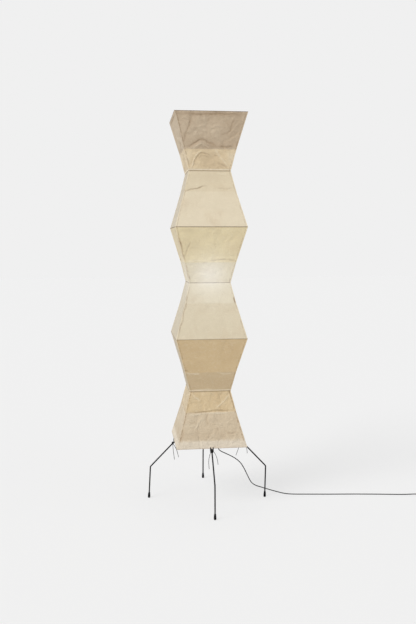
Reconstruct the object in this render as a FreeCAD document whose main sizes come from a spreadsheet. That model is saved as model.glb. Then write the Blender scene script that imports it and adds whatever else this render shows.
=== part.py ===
"""Paper lantern floor lamp.

A square paper shade swells and narrows six times between seven wire rings. It stands on four
bent-rod legs that meet in a hub under the shade. A mast rises from the hub and carries the lamp
holder half way up and the shade's carrier at the top. Millimetres, +Z up, the front towards -Y.
The origin is on the floor under the mast.
"""
import FreeCAD, Part
import math
import os
import re

import Sketcher
from FreeCAD import Placement, Rotation, Vector

SIZES = {
    # paper shade
    "shade_base": 310,  # height of the paper's lower edge
    "section_height": 270,  # from one ring to the next
    "wide_width": 350,  # across the paper at a wide ring
    "narrow_width": 205,  # across the paper at a narrow ring
    "paper_thickness": 0.5,
    "crease_depth": 3,  # how far a section's fold line is drawn in
    "paper_gap": 0.3,  # between one sleeve and the next, and from paper to wire
    "ring_wire": 3,
    "ring_corner": 6,
    # legs and their feet
    "leg_rod": 7,
    "arm_height": 294,
    "arm_reach": 176,  # where the arm bends down
    "knee_reach": 298,
    "knee_height": 165,
    "front_foot_spread": 3,  # each foot stands this much further out than its knee
    "right_foot_spread": -4,
    "back_foot_spread": 15,
    "left_foot_spread": 9,
    "front_leg_turn": -0.5,  # degrees, each leg is a little askew in the hub
    "right_leg_turn": -5,
    "back_leg_turn": -1.5,
    "left_leg_turn": -7,
    "leg_bend": 12,
    "tip_width": 13,
    "tip_height": 28,
    "tip_sole": 9,  # across the flat underside
    "tip_neck": 9.4,
    "tip_belly_height": 8.4,
    "tip_tuck": 0.3,  # how far its side draws in half way down from belly to sole
    "tip_swell": 0.2,  # how far its upper side stands out from a straight one
    "tip_floor": 5,  # rubber under the rod's end
    # tie strings
    "string_width": 2.4,
    "string_gap": 0.8,
    "knot_width": 11,
    "knot_height": 13,
    # hub
    "hub_width": 60,
    "hub_height": 24,
    "hub_chamber": 30,
    "hub_roof": 6,  # between the chamber and the mast's foot
    "hub_neck": 25,
    "hub_neck_height": 22,
    "cover_width": 48,
    "cover_thickness": 3,
    "cover_screw_ring": 39,
    "fit_gap": 0.1,  # between a rod and its socket, all round
    "grub_width": 4,
    "grub_length": 6,
    "cover_screw_width": 3,
    "cover_screw_length": 7,
    "cover_screw_head": 5.6,
    "cover_screw_head_height": 2,
    # mast
    "mast_width": 12,
    "mast_bore": 8,
    "mast_seat": 14,  # the mast's foot above the arms
    "mast_stop": 2,  # ledge that a tube's end stands on
    "junction_height": 1056,
    "junction_width": 26,
    "junction_length": 68,
    "junction_chamber": 18,
    "junction_chamber_height": 28,
    "junction_boss": 24,
    "cap_height": 2,
    "mast_top_drop": 3,  # from the paper's upper edge down to the mast's end
    # lamp holder
    "holder_offset": 45,
    "holder_arm_bend": 18,
    "holder_rise": 26,
    "nipple_width": 10,
    "nipple_flange": 18,
    "nipple_length": 14,
    "nipple_wall": 1.4,
    "holder_width": 40,
    "holder_wall": 2,
    "holder_shell_height": 36,
    "insulator_height": 8,
    "thread_bore": 26.8,
    "thread_wall": 0.8,
    "thread_height": 26,
    "contact_width": 7,
    "contact_height": 2.4,
    # bulb
    "bulb_cap_width": 26.2,
    "bulb_cap_height": 25,
    "bulb_neck_width": 22.4,
    "bulb_width": 60,
    "bulb_rise": 67,  # globe's centre above the cap's foot
    "bulb_wall": 0.8,
    "stem_foot_width": 7,
    "stem_head_width": 2.4,
    "filament_width": 1.8,
    "filament_lead_width": 1,
    "contact_gap": 0.2,
    # shade carrier
    "collar_width": 28,
    "collar_above": 3,  # from the spokes' axis to the collar's upper face
    "collar_below": 15,
    "collar_edge": 1,
    "slide_gap": 0.1,
    "spoke_width": 4,
    "thumbscrew_head": 16,
    "thumbscrew_head_length": 8,
    "flute_width": 1.6,
    # mains cord and what is on it
    "cord_width": 4.8,
    "cord_gap": 0.3,
    "cord_straight": 11,  # the free cord's first run, in line with the gland
    "lead_bend": 12,  # of the lead inside hub and junction
    "gland_turn": 52,  # degrees, the way the cord leaves the hub
    "gland_thread": 10,
    "gland_nut": 15,
    "gland_nut_length": 8,
    "boot_length": 24,
    "boot_root": 11,
    "boot_tip": 7.4,
    "switch_length": 74,
    "switch_width": 34,
    "switch_height": 24,
    "switch_split": 12.5,
    "switch_wall": 2.2,
    "switch_corner": 13,
    "switch_edge": 3,  # rounding of the cover's rim, twice that of the base's
    "switch_cord_height": 6.5,
    "switch_screw_seat": 9,  # the heads' seats above the underside
    "button_width": 19,
    "button_rise": 3,
    "button_flange": 1.5,
    "coil_pitch": 5.3,
    "coil_outer": 34,  # radius of the outer turn
    "coil_layer_turns": 2.5,
    "coil_lift": 1,  # the strap passes under the coil
    "tie_thickness": 0.8,
    "tie_width": 8,
    "tie_gap": 0.5,
    "plug_length": 34,
    "plug_width": 32,
    "plug_thickness": 14,
    "plug_neck": 12,
    "plug_corner": 5,
    "plug_edge": 2.5,
    "pin_width": 4,
    "pin_length": 19,
    "pin_spacing": 19,
}

SECTIONS = 6
# The direction of each leg in degrees, before its own turn.
LEGS = {"front": 270, "right": 0, "back": 90, "left": 180}

# How far each tie string's knot has slipped from its place: outwards, sideways and up.
KNOT_SLIPS = {
    "front": (0, 0, 0),
    "right": (0, 0, 0),
    "back": (0, 0, 0),
    "left": (0.6, 9.8, -11),
}

# Loose ends of the tie strings, from each knot: outwards, sideways and up.
STRING_ENDS = {
    "front": (
        [(0, -4.5, -2), (2, -9, -15), (4, -15.5, -36), (4, -17.5, -65), (3, -14.5, -93)],
        [(0, 4.5, -2), (2, 12, -12), (4, 21, -29), (4, 27, -51), (2, 29.5, -72)],
    ),
    "right": (
        [(0, 4.5, -2), (-6, 7, -14), (-17, 6, -31), (-27, 4, -57), (-35.5, 4.5, -82)],
        [(0, -4.5, -2), (8, -8, -14), (16, -8, -30), (21, -7, -50), (21.5, -6.6, -69)],
    ),
    "back": (
        [(0, 4.5, -2), (2, 10, -15), (4, 16, -35), (5, 17, -58), (3, 14, -80)],
        [(0, -4.5, -2), (1, -9, -14), (3, -15, -32), (4, -19, -52), (7, -20, -72)],
    ),
    "left": (
        [(0, 3, -3), (-1, 5, -16), (-3, 6.5, -38), (-6, 6.8, -62), (-8.6, 6, -85)],
        [(0, -3, -3), (-7, -7, -14), (-15, -10, -29), (-24, -11.2, -54), (-29, -10.5, -78)],
    ),
}

# The mains cord's route after its first straight run from the gland: it sinks in an S, turns on
# the floor and runs off to the right, where it rises to the foot switch.
CORD_ROUTE = [
    (52, 67.7, 290.6),
    (57.6, 77.1, 283.9),
    (61.2, 84.9, 274.3),
    (62.6, 90.3, 262.6),
    (62.6, 94, 247),
    (65, 96.6, 231),
    (75.5, 98.6, 216),
    (97, 101, 204.5),
    (127.5, 103.5, 189),
    (162, 107.5, 168),
    (190, 113, 141.5),
    (209, 119, 109),
    (225.5, 127, 74),
    (241, 136, 41.5),
    (251.5, 143.5, 23),
    (261.5, 145.5, 12.6),
    (273, 142, 5.2),
    (285, 133, 2.4),
    (300.5, 115, 2.4),
    (320, 91, 2.4),
    (344, 63, 2.4),
    (371, 33, 2.4),
    (400, 4, 2.4),
    (436, -13.5, 2.4),
    (500, -21.5, 2.4),
    (564, -30, 2.4),
    (628, -38.6, 2.4),
    (690, -45.6, 2.4),
    (758, -53, 2.4),
    (824, -62, 2.4),
    (888, -71.5, 2.4),
    (950, -81.5, 2.4),
    (1005, -91, 2.4),
    (1042, -97.6, 4.2),
    (1074, -103.3, 6.5),
    (1106, -109.4, 6.5),
]
# From the switch's far boot to the coil: forwards, to the left and up from the boot's end.
COIL_LEAD = [(0, 0, 0), (16, 0, 0), (34, 0.6, -1.6), (54, 2, -3.1), (72, 4, -3.1)]
# From the coil's end to the plug: forwards, to the left and up.
PLUG_LEAD = [(0, 0, 0), (12, 0, 0), (26, 1.2, -0.8), (42, 1.6, -1.7), (56, 1.6, -1.7)]

document = FreeCAD.newDocument("PaperLanternLamp")
sheet = document.addObject("Spreadsheet::Sheet", "Sizes")
for row, (alias, amount) in enumerate(SIZES.items(), 1):
    sheet.set(f"A{row}", alias)
    sheet.set(f"B{row}", str(amount))
    sheet.setAlias(f"B{row}", alias)
document.recompute()

SUBPARTS = []
ORIGIN = Vector(0, 0, 0)
UP = Vector(0, 0, 1)
FRONT = Vector(0, -1, 0)


def bound(formula):
    """The formula with each size named as a cell of the sheet."""
    return re.sub(r"[a-z]+(?:_[a-z]+)+", lambda name: "Sizes." + name.group(0), formula)


def size(formula):
    """The formula's value in millimetres or degrees."""
    return float(sheet.evalExpression(bound(formula)))


def direction(degrees):
    """A level unit vector, counted from +X towards +Y."""
    angle = math.radians(degrees)
    return Vector(math.cos(angle), math.sin(angle), 0)


def facing(way):
    """The turn that carries +Z to the given way."""
    return Rotation(UP, way)


def seat(thing, place, turn=None):
    """Put a thing at a place given as three formulas, bound to the sheet."""
    if turn is not None:
        thing.Placement = Placement(ORIGIN, turn)
    for axis, formula in zip("xyz", place):
        thing.setExpression(f"Placement.Base.{axis}", bound(formula))


def keep(thing, label):
    """Name a sub-part and list it for writing out."""
    thing.Label = label
    SUBPARTS.append(thing)
    return thing


def add_shape(label, shape):
    """A sub-part whose shape is worked out here from the sheet's sizes."""
    feature = document.addObject("Part::Feature", label)
    feature.Shape = shape
    return keep(feature, label)


def sketch_outline(body, role, corners):
    """A closed outline of straight sides, every corner held by two sizes from the sheet."""
    sketch = body.newObject("Sketcher::SketchObject", body.Name + "_outline")
    plane = next(item for item in body.Origin.OriginFeatures if item.Role == role)
    sketch.AttachmentSupport = [(plane, "")]
    sketch.MapMode = "FlatFace"
    points = [Vector(size(across), size(along), 0) for across, along in corners]
    for start, end in zip(points, points[1:] + points[:1]):
        sketch.addGeometry(Part.LineSegment(start, end), False)
    for side in range(len(points)):
        following = (side + 1) % len(points)
        sketch.addConstraint(Sketcher.Constraint("Coincident", side, 2, following, 1))
    for side, (point, formulas) in enumerate(zip(points, corners)):
        held = (("DistanceX", point.x, formulas[0]), ("DistanceY", point.y, formulas[1]))
        for kind, amount, formula in held:
            index = sketch.addConstraint(Sketcher.Constraint(kind, -1, 1, side, 1, amount))
            sketch.setExpression(f"Constraints[{index}]", bound(formula))
    return sketch


def turned(label, corners, place=("0", "0", "0"), turn=None):
    """A body turned round its own Z axis; corners are radius and height."""
    body = document.addObject("PartDesign::Body", label)
    outline = sketch_outline(body, "XZ_Plane", corners)
    revolution = body.newObject("PartDesign::Revolution", label + "_turning")
    revolution.Profile = outline
    revolution.ReferenceAxis = (outline, ["V_Axis"])
    revolution.Angle = 360
    seat(body, place, turn)
    document.recompute()
    return keep(body, label)


def bore(body, radius, depth, place, turn=None):
    """A round hole from a place in the body's own frame, along +Z unless turned."""
    hole = body.newObject("PartDesign::SubtractiveCylinder", body.Name + "_bore")
    hole.setExpression("Radius", bound(radius))
    hole.setExpression("Height", bound(depth))
    seat(hole, place, turn)
    document.recompute()
    return hole


def boss(body, radius, length, place, turn):
    """A round lug that stands on the body, placed as a bore is."""
    lug = body.newObject("PartDesign::AdditiveCylinder", body.Name + "_boss")
    lug.setExpression("Radius", bound(radius))
    lug.setExpression("Height", bound(length))
    seat(lug, place, turn)
    document.recompute()
    return lug


def cylinder(label, radius, height, place, turn=None):
    """A plain round bar."""
    bar = document.addObject("Part::Cylinder", label)
    bar.setExpression("Radius", bound(radius))
    bar.setExpression("Height", bound(height))
    seat(bar, place, turn)
    return bar


def tube(label, outer, inner, height, place):
    """A round tube: one bar cut by another."""
    pipe = document.addObject("Part::Cut", label)
    pipe.Base = cylinder(label + "_outside", outer, height, place)
    pipe.Tool = cylinder(label + "_inside", inner, height, place)
    return keep(pipe, label)


def bend(before, corner, after, radius):
    """The tangent arc that rounds a corner of a path."""
    back = (before - corner).normalize()
    ahead = (after - corner).normalize()
    half_turn = (math.pi - back.getAngle(ahead)) / 2
    reach = radius * math.tan(half_turn)
    inward = (back + ahead).normalize()
    crown = radius / math.cos(half_turn) - radius
    return Part.Arc(corner + back * reach, corner + inward * crown, corner + ahead * reach)


def bent_path(points, radii):
    """One wire of straight runs joined by tangent arcs."""
    edges = []
    start = points[0]
    for before, corner, after, radius in zip(points, points[1:], points[2:], radii):
        arc = bend(before, corner, after, radius)
        edges.append(Part.LineSegment(start, arc.StartPoint))
        edges.append(arc)
        start = arc.EndPoint
    edges.append(Part.LineSegment(start, points[-1]))
    return Part.Wire([edge.toShape() for edge in edges])


def round_sweep(path, diameter):
    """A solid round bar along a wire."""
    first = path.OrderedEdges[0]
    start = first.valueAt(first.FirstParameter)
    heading = first.tangentAt(first.FirstParameter)
    profile = Part.Wire(Part.makeCircle(diameter / 2, start, heading))
    return path.makePipeShell([profile], True, False)


def cord_radii(points):
    """Each corner's arc is as large as the shorter run beside it allows."""
    radii = []
    for before, corner, after in zip(points, points[1:], points[2:]):
        back = corner - before
        ahead = after - corner
        shorter = min(back.Length, ahead.Length)
        radii.append(0.45 * shorter / math.tan(back.getAngle(ahead) / 2))
    return radii


def cord_tube(name, points, diameter):
    """A cord's tube, with its least radius and its volume against section times length."""
    radii = cord_radii(points)
    path = bent_path(points, radii)
    solid = round_sweep(path, diameter)
    share = solid.Volume / (math.pi * diameter**2 / 4 * path.Length)
    print(
        f"{name}: length {path.Length:.0f}, radii {min(radii):.0f} to {max(radii):.0f},"
        f" volume over section times length {share:.4f}"
    )
    return solid


# ---------------------------------------------------------------- shade

LEAN = math.atan((size("wide_width") - size("narrow_width")) / 2 / size("section_height"))
PAPER_ACROSS = size("paper_thickness") / math.cos(LEAN)


def ring_height(ring):
    """Rings are counted from 1 at the bottom to 7 at the top."""
    return size("shade_base") + (ring - 1) * size("section_height")


def paper_half(ring):
    """Half the paper's width at a ring: the odd rings are the wide ones."""
    return size("wide_width" if ring % 2 else "narrow_width") / 2


def square_wire(half, height):
    corners = [(-half, -half), (half, -half), (half, half), (-half, half), (-half, -half)]
    return Part.makePolygon([Vector(x, y, height) for x, y in corners])


def crease_height(section):
    """Where a sleeve folds, so that it would lie flat between its two rings."""
    step = (size("wide_width") - size("narrow_width")) / 2
    slant = math.hypot(step, size("section_height"))
    from_narrow = size("section_height") * (slant - step) / 2 / slant
    if section % 2:
        return ring_height(section + 1) - from_narrow
    return ring_height(section) + from_narrow


def crease_half(section):
    """Half the sleeve's width at its fold line, which is drawn in from the straight side."""
    share = (crease_height(section) - ring_height(section)) / size("section_height")
    low_half = paper_half(section)
    high_half = paper_half(section + 1)
    return low_half + (high_half - low_half) * share - size("crease_depth")


def sleeve(section, inset):
    """The solid inside a sleeve's outer face, drawn in by the inset: two truncated pyramids."""
    gap = size("paper_gap") / 2
    low = ring_height(section) + (gap if section > 1 else 0)
    high = ring_height(section + 1) - (gap if section < SECTIONS else 0)
    wires = [
        square_wire(paper_half(section) - inset, low),
        square_wire(crease_half(section) - inset, crease_height(section)),
        square_wire(paper_half(section + 1) - inset, high),
    ]
    return Part.makeLoft(wires, True, True)


def leg_way(name):
    """The level unit vector from the hub along a leg's arm."""
    return direction(LEGS[name] + size(f"{name}_leg_turn"))


def arm_crossing(name):
    """Where a leg's arm passes under the bottom ring, and the arm's way outwards."""
    way = leg_way(name)
    reach = ring_half(1) / math.cos(math.radians(size(f"{name}_leg_turn")))
    return way * reach, way


def edge_lean(ring, section):
    """How far a sleeve leans between a wide ring and its own fold line, in radians."""
    inward = paper_half(ring) - crease_half(section)
    return math.atan2(inward, abs(ring_height(ring) - crease_height(section)))


def ring_half(ring):
    """Half the distance between a ring's opposite wires, each wire lying against the paper."""
    stand_off = size("ring_wire / 2 + paper_gap")
    inner = paper_half(ring) - PAPER_ACROSS
    if ring in (1, SECTIONS + 1):
        section = min(ring, SECTIONS)
        inner -= size("ring_wire") / 2 * math.tan(edge_lean(ring, section))
        return inner - stand_off / math.cos(edge_lean(ring, section))
    if ring % 2:
        return inner - stand_off / math.cos(edge_lean(ring, ring))
    return inner - stand_off


def ring_wire_height(ring):
    """The end rings lie just inside the paper's edge, the others on the folds between."""
    if ring == 1:
        return ring_height(1) + size("ring_wire") / 2
    if ring == SECTIONS + 1:
        return ring_height(ring) - size("ring_wire") / 2
    return ring_height(ring)


def make_ring(ring):
    half = ring_half(ring)
    height = ring_wire_height(ring)
    corners = [
        Vector(0, -half, height),
        Vector(half, -half, height),
        Vector(half, half, height),
        Vector(-half, half, height),
        Vector(-half, -half, height),
        Vector(0, -half, height),
    ]
    path = bent_path(corners, [size("ring_corner")] * 4)
    add_shape(f"ring_{ring}", round_sweep(path, size("ring_wire")))


def string_notches():
    """Openings in the bottom hem, where the strings pass round the ring."""
    half_width = size("leg_rod / 2 + string_gap + string_width * 2")
    top = ring_wire_height(1) + size("ring_wire / 2 + string_gap + string_width * 1.5")
    depth = size("ring_wire") * 6
    notches = []
    for name in LEGS:
        crossing, way = arm_crossing(name)
        height = top - size("shade_base")
        notch = Part.makeBox(depth, 2 * half_width, 2 * height)
        notch.translate(Vector(-depth / 2, -half_width, -height))
        turn = Rotation(Vector(1, 0, 0), way)
        notch.Placement = Placement(
            crossing + UP * size("shade_base"), turn, ORIGIN
        ).multiply(notch.Placement)
        notches.append(notch)
    return notches


def make_paper(section):
    """One folded sleeve of paper between two rings."""
    shape = sleeve(section, 0).cut(sleeve(section, PAPER_ACROSS))
    if section == 1:
        shape = shape.cut(string_notches())
    add_shape(f"paper_{section}", shape.Solids[0])


# ---------------------------------------------------------------- legs, feet and ties


def make_leg(name):
    """A bent rod: arm, bend, slope, knee and upright, with the rubber tip on its end."""
    way = leg_way(name)
    knee = way * size("knee_reach") + UP * size("knee_height")
    foot = way * size(f"knee_reach + {name}_foot_spread")
    upright = (knee - foot).normalize()
    rod_end = foot + upright * size("tip_floor")
    points = [
        way * size("hub_chamber / 2 + 1") + UP * size("arm_height"),
        way * size("arm_reach") + UP * size("arm_height"),
        knee,
        rod_end,
    ]
    rod = round_sweep(bent_path(points, [size("leg_bend")] * 2), size("leg_rod"))
    add_shape(f"leg_{name}", rod)
    add_shape(f"foot_tip_{name}", foot_tip(foot, upright))


def foot_tip(foot, upright):
    """A teardrop of rubber on the rod, cut level where it stands on the floor."""
    belly = Vector(size("tip_width / 2"), 0, size("tip_belly_height"))
    sole = Vector(size("tip_sole / 2"), 0, -1)
    neck = Vector(size("tip_neck / 2"), 0, size("tip_height"))
    low = Vector(belly.x - size("tip_tuck"), 0, (sole.z + belly.z) / 2)
    high = (belly + neck) / 2 + Vector(size("tip_swell"), 0, 0)
    axis_low = Vector(0, 0, sole.z)
    axis_high = Vector(0, 0, neck.z)
    edges = [
        Part.LineSegment(axis_low, sole).toShape(),
        Part.Arc(sole, low, belly).toShape(),
        Part.Arc(belly, high, neck).toShape(),
        Part.LineSegment(neck, axis_high).toShape(),
        Part.LineSegment(axis_high, axis_low).toShape(),
    ]
    rubber = Part.Face(Part.Wire(edges)).revolve(ORIGIN, UP, 360)
    socket = Part.makeCylinder(
        size("leg_rod / 2 + fit_gap"), size("tip_height"), UP * size("tip_floor")
    )
    rubber = rubber.cut(socket)
    rubber.Placement = Placement(foot, facing(upright))
    margin = size("tip_width")
    below = Part.makeBox(2 * margin, 2 * margin, margin)
    below.translate(foot - Vector(margin, margin, margin))
    return rubber.cut(below)


def tie_lashing(crossing, way):
    """One closed turn of string: over the ring on both sides of the arm, under the arm on both
    sides of the ring."""
    side = UP.cross(way)
    string_half = size("string_width / 2")
    over = size("ring_wire / 2 + string_gap") + string_half
    under = size("leg_rod / 2 + string_gap") + string_half
    wire_height = ring_wire_height(1)
    # the outer turn passes under the arm's bend, which has begun to drop there
    bend_start = size("arm_reach") - size("leg_bend") * math.tan(arm_slope() / 2)
    past_bend = max(0.0, crossing.Length + over + string_half - bend_start)
    drop = size("leg_bend") - math.sqrt(size("leg_bend") ** 2 - past_bend**2)
    inner_arm = size("arm_height")
    outer_arm = inner_arm - drop - size("string_gap")

    def spot(outwards, sideways, height):
        level = Vector(crossing.x, crossing.y, 0)
        return level + way * outwards + side * sideways + UP * height

    cos45 = math.sqrt(0.5)
    edges = []

    def quarter(centre, first, second):
        middle = (first + second) * cos45
        edges.append(Part.Arc(centre + first, centre + middle, centre + second).toShape())

    def strand(start, end):
        edges.append(Part.LineSegment(start, end).toShape())

    for sideways in (-1, 1):
        ring_centre = spot(0, sideways * under, wire_height)
        quarter(ring_centre, way * (sideways * over), UP * over)
        quarter(ring_centre, UP * over, way * (-sideways * over))
        outwards = -sideways * over
        arm_axis = inner_arm if outwards < 0 else outer_arm
        strand(
            spot(outwards, sideways * under, wire_height),
            spot(outwards, sideways * under, arm_axis),
        )
        arm_centre = spot(outwards, 0, arm_axis)
        quarter(arm_centre, side * (sideways * under), UP * -under)
        quarter(arm_centre, UP * -under, side * (-sideways * under))
        strand(
            spot(outwards, -sideways * under, arm_axis),
            spot(outwards, -sideways * under, wire_height),
        )
    path = Part.Wire(Part.__sortEdges__(edges))
    return round_sweep(path, size("string_width"))


def arm_slope():
    """The angle through which an arm bends down, in radians."""
    fall = size("arm_height - knee_height")
    return math.atan2(fall, size("knee_reach - arm_reach"))


def make_tie(name):
    """A tie string: its turn round ring and arm, its knot and its two loose ends."""
    crossing, way = arm_crossing(name)
    side = UP.cross(way)
    lashing = tie_lashing(crossing, way)
    knot_half = size("knot_width / 2")
    bearing = size("ring_wire / 2 + string_gap + string_width * 1.5") + knot_half / 2
    outwards, sideways, up = KNOT_SLIPS[name]
    knot_centre = crossing + way * (bearing - size("string_width * 0.6") + outwards)
    knot_centre += side * sideways
    knot_centre.z = size("shade_base - string_width / 4 - knot_height / 2") + up
    whole = lashing.fuse([capsule(knot_centre, knot_half, size("knot_height"))])
    for number, route in enumerate(STRING_ENDS[name]):
        points = [
            knot_centre + way * outwards + side * sideways + UP * up
            for outwards, sideways, up in route
        ]
        loose_end = cord_tube(f"tie_{name} end {number}", points, size("string_width"))
        whole = whole.fuse(loose_end)
    add_shape(f"tie_{name}", whole)


def capsule(centre, half_width, height):
    """An upright bar with round ends."""
    straight = height / 2 - half_width
    edges = [
        Part.Arc(
            Vector(0, 0, -height / 2),
            Vector(half_width * math.sqrt(0.5), 0, -straight - half_width * math.sqrt(0.5)),
            Vector(half_width, 0, -straight),
        ).toShape(),
        Part.LineSegment(
            Vector(half_width, 0, -straight), Vector(half_width, 0, straight)
        ).toShape(),
        Part.Arc(
            Vector(half_width, 0, straight),
            Vector(half_width * math.sqrt(0.5), 0, straight + half_width * math.sqrt(0.5)),
            Vector(0, 0, height / 2),
        ).toShape(),
        Part.LineSegment(Vector(0, 0, height / 2), Vector(0, 0, -height / 2)).toShape(),
    ]
    bar = Part.Face(Part.Wire(edges)).revolve(ORIGIN, UP, 360)
    bar.translate(centre)
    return bar


# ---------------------------------------------------------------- hub


def make_hub():
    hub = turned(
        "hub_body",
        [
            ("hub_chamber / 2", "-hub_height / 2"),
            ("hub_width / 2", "-hub_height / 2"),
            ("hub_width / 2", "hub_height / 2"),
            ("hub_neck / 2", "hub_height / 2"),
            ("hub_neck / 2", "hub_height / 2 + hub_neck_height"),
            ("mast_width / 2 + fit_gap", "hub_height / 2 + hub_neck_height"),
            ("mast_width / 2 + fit_gap", "mast_seat"),
            ("mast_bore / 2", "mast_seat"),
            ("mast_bore / 2", "mast_seat - hub_roof"),
            ("hub_chamber / 2", "mast_seat - hub_roof"),
        ],
        ("0", "0", "arm_height"),
    )
    grub_reach = "(hub_chamber + hub_width) / 4"
    for name in LEGS:
        way = leg_way(name)
        bore(hub, "leg_rod / 2 + fit_gap", "hub_width", ("0", "0", "0"), facing(way))
        spot = way * size(grub_reach)
        bore(
            hub, "grub_width / 2 + fit_gap", "hub_height", (str(spot.x), str(spot.y), "0"),
        )
    gland_way = direction(size("gland_turn"))
    bore(hub, "gland_thread / 2 + fit_gap", "hub_width", ("0", "0", "0"), facing(gland_way))
    neck_middle = "(hub_height + hub_neck_height) / 2 + mast_seat / 4"
    bore(hub, "grub_width / 2 + fit_gap", "hub_width", ("0", "0", neck_middle), facing(FRONT))
    for way in cover_screw_ways():
        spot = way * size("cover_screw_ring / 2")
        bore(
            hub,
            "cover_screw_width / 2 + fit_gap",
            "cover_screw_length - cover_thickness + 1",
            (str(spot.x), str(spot.y), "-hub_height / 2"),
        )
    return neck_middle


def cover_screw_ways():
    """Three screws hold the hub's cover, each clear of the arms and the gland."""
    return [direction(degrees) for degrees in (135, 225, 315)]


def make_hub_cover():
    cover = turned(
        "hub_cover",
        [
            ("0", "-cover_thickness"),
            ("cover_width / 2", "-cover_thickness"),
            ("cover_width / 2", "0"),
            ("0", "0"),
        ],
        ("0", "0", "arm_height - hub_height / 2"),
    )
    for way in cover_screw_ways():
        spot = way * size("cover_screw_ring / 2")
        bore(
            cover,
            "cover_screw_width / 2 + fit_gap",
            "cover_thickness * 2",
            (str(spot.x), str(spot.y), "-cover_thickness * 1.5"),
        )


def cover_screw(head_face, way):
    """A pan-head screw: its head lies on the head face and its shank points along the way."""
    shank = Part.makeCylinder(
        size("cover_screw_width / 2"), size("cover_screw_length"), ORIGIN
    )
    head = Part.makeCylinder(
        size("cover_screw_head / 2"),
        size("cover_screw_head_height"),
        UP * -size("cover_screw_head_height"),
    )
    rim = [edge for edge in head.Edges if abs(edge.CenterOfMass.z - head.BoundBox.ZMin) < 0.01]
    screw = head.makeFillet(size("cover_screw_head_height") * 0.4, rim).fuse(shank)
    screw = screw.removeSplitter()
    screw.Placement = Placement(head_face, facing(way))
    return screw


def make_screws(neck_middle):
    """The grub screws of hub and junction, and the pan-head screws of hub cover and switch.

    The switch lies on the cord, away from the lamp, so its screws are a sub-part of their own.
    """
    grubs = []
    for name in LEGS:
        way = leg_way(name)
        foot = way * size("(hub_chamber + hub_width) / 4")
        foot.z = size("arm_height + leg_rod / 2 + fit_gap")
        grubs.append(Part.makeCylinder(size("grub_width / 2"), size("grub_length"), foot))
    mast_screws = [(FRONT, size("arm_height") + size(neck_middle))]
    for end in (-1, 1):
        height = size("junction_height") + end * size(JUNCTION_GRUB)
        mast_screws.append((FRONT * -1, height))
    for way, height in mast_screws:
        foot = way * size("mast_width / 2 + fit_gap") + UP * height
        grubs.append(Part.makeCylinder(size("grub_width / 2"), size("grub_length"), foot, way))
    add_shape("grub_screws", Part.makeCompound(grubs))
    underside = size("arm_height - hub_height / 2 - cover_thickness")
    screws = [
        cover_screw(way * size("cover_screw_ring / 2") + UP * underside, UP)
        for way in cover_screw_ways()
    ]
    add_shape("cover_screws", Part.makeCompound(screws))
    add_shape("switch_screws", Part.makeCompound(switch_screws()))


# ---------------------------------------------------------------- mast

JUNCTION_GRUB = "(junction_length + junction_chamber_height) / 4 + mast_stop / 2"
MAST_TOP = f"shade_base + {SECTIONS} * section_height - mast_top_drop"


def make_mast():
    socket = "mast_width / 2 + fit_gap"
    bore_half = "mast_bore / 2"
    tube(
        "mast_lower",
        "mast_width / 2",
        bore_half,
        "junction_height - junction_chamber_height / 2 - mast_stop - arm_height - mast_seat",
        ("0", "0", "arm_height + mast_seat"),
    )
    low_seat = "-junction_chamber_height / 2 - mast_stop"
    junction = turned(
        "mast_junction",
        [
            (bore_half, low_seat),
            (socket, low_seat),
            (socket, "-junction_length / 2"),
            ("junction_width / 2", "-junction_length / 2"),
            ("junction_width / 2", "junction_length / 2"),
            (socket, "junction_length / 2"),
            (socket, "junction_chamber_height / 2 + mast_stop"),
            ("0", "junction_chamber_height / 2 + mast_stop"),
            ("0", "junction_chamber_height / 2"),
            ("junction_chamber / 2", "junction_chamber_height / 2"),
            ("junction_chamber / 2", "-junction_chamber_height / 2"),
            (bore_half, "-junction_chamber_height / 2"),
        ],
        ("0", "0", "junction_height"),
    )
    outward = facing(FRONT)
    wall_start = "-junction_width / 2 + 1"
    boss(
        junction,
        "mast_width / 2 + fit_gap + 3",
        "junction_boss - junction_width / 2 + 1",
        ("0", wall_start, "0"),
        outward,
    )
    bore(junction, "mast_bore / 2 + 0.5", "junction_boss", ("0", "0", "0"), outward)
    bore(junction, socket, "junction_boss", ("0", "-junction_width / 2", "0"), outward)
    for end in ("-1", "1"):
        bore(
            junction,
            "grub_width / 2 + fit_gap",
            "junction_width",
            ("0", "0", f"{end} * ({JUNCTION_GRUB})"),
            facing(FRONT * -1),
        )
    tube(
        "mast_upper",
        "mast_width / 2",
        bore_half,
        f"{MAST_TOP} - junction_height - junction_chamber_height / 2 - mast_stop",
        ("0", "0", "junction_height + junction_chamber_height / 2 + mast_stop"),
    )
    plug_half = "mast_bore / 2 - fit_gap"
    turned(
        "mast_cap",
        [
            ("0", "0 - cap_height * 2"),
            (plug_half, "0 - cap_height * 2"),
            (plug_half, "0"),
            ("mast_width / 2", "0"),
            ("mast_width / 2", "cap_height"),
            ("0", "cap_height"),
        ],
        ("0", "0", MAST_TOP),
    )


# ---------------------------------------------------------------- lamp holder and bulb

HOLDER_FOOT = "junction_height + holder_rise"


def holder_path(start_reach, end_height):
    """Out of the junction towards the front, then up to the lamp holder."""
    axis_height = size("junction_height")
    corner = Vector(0, -size("holder_offset"), axis_height)
    points = [
        Vector(0, -start_reach, axis_height),
        corner,
        Vector(0, corner.y, end_height),
    ]
    return points


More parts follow.
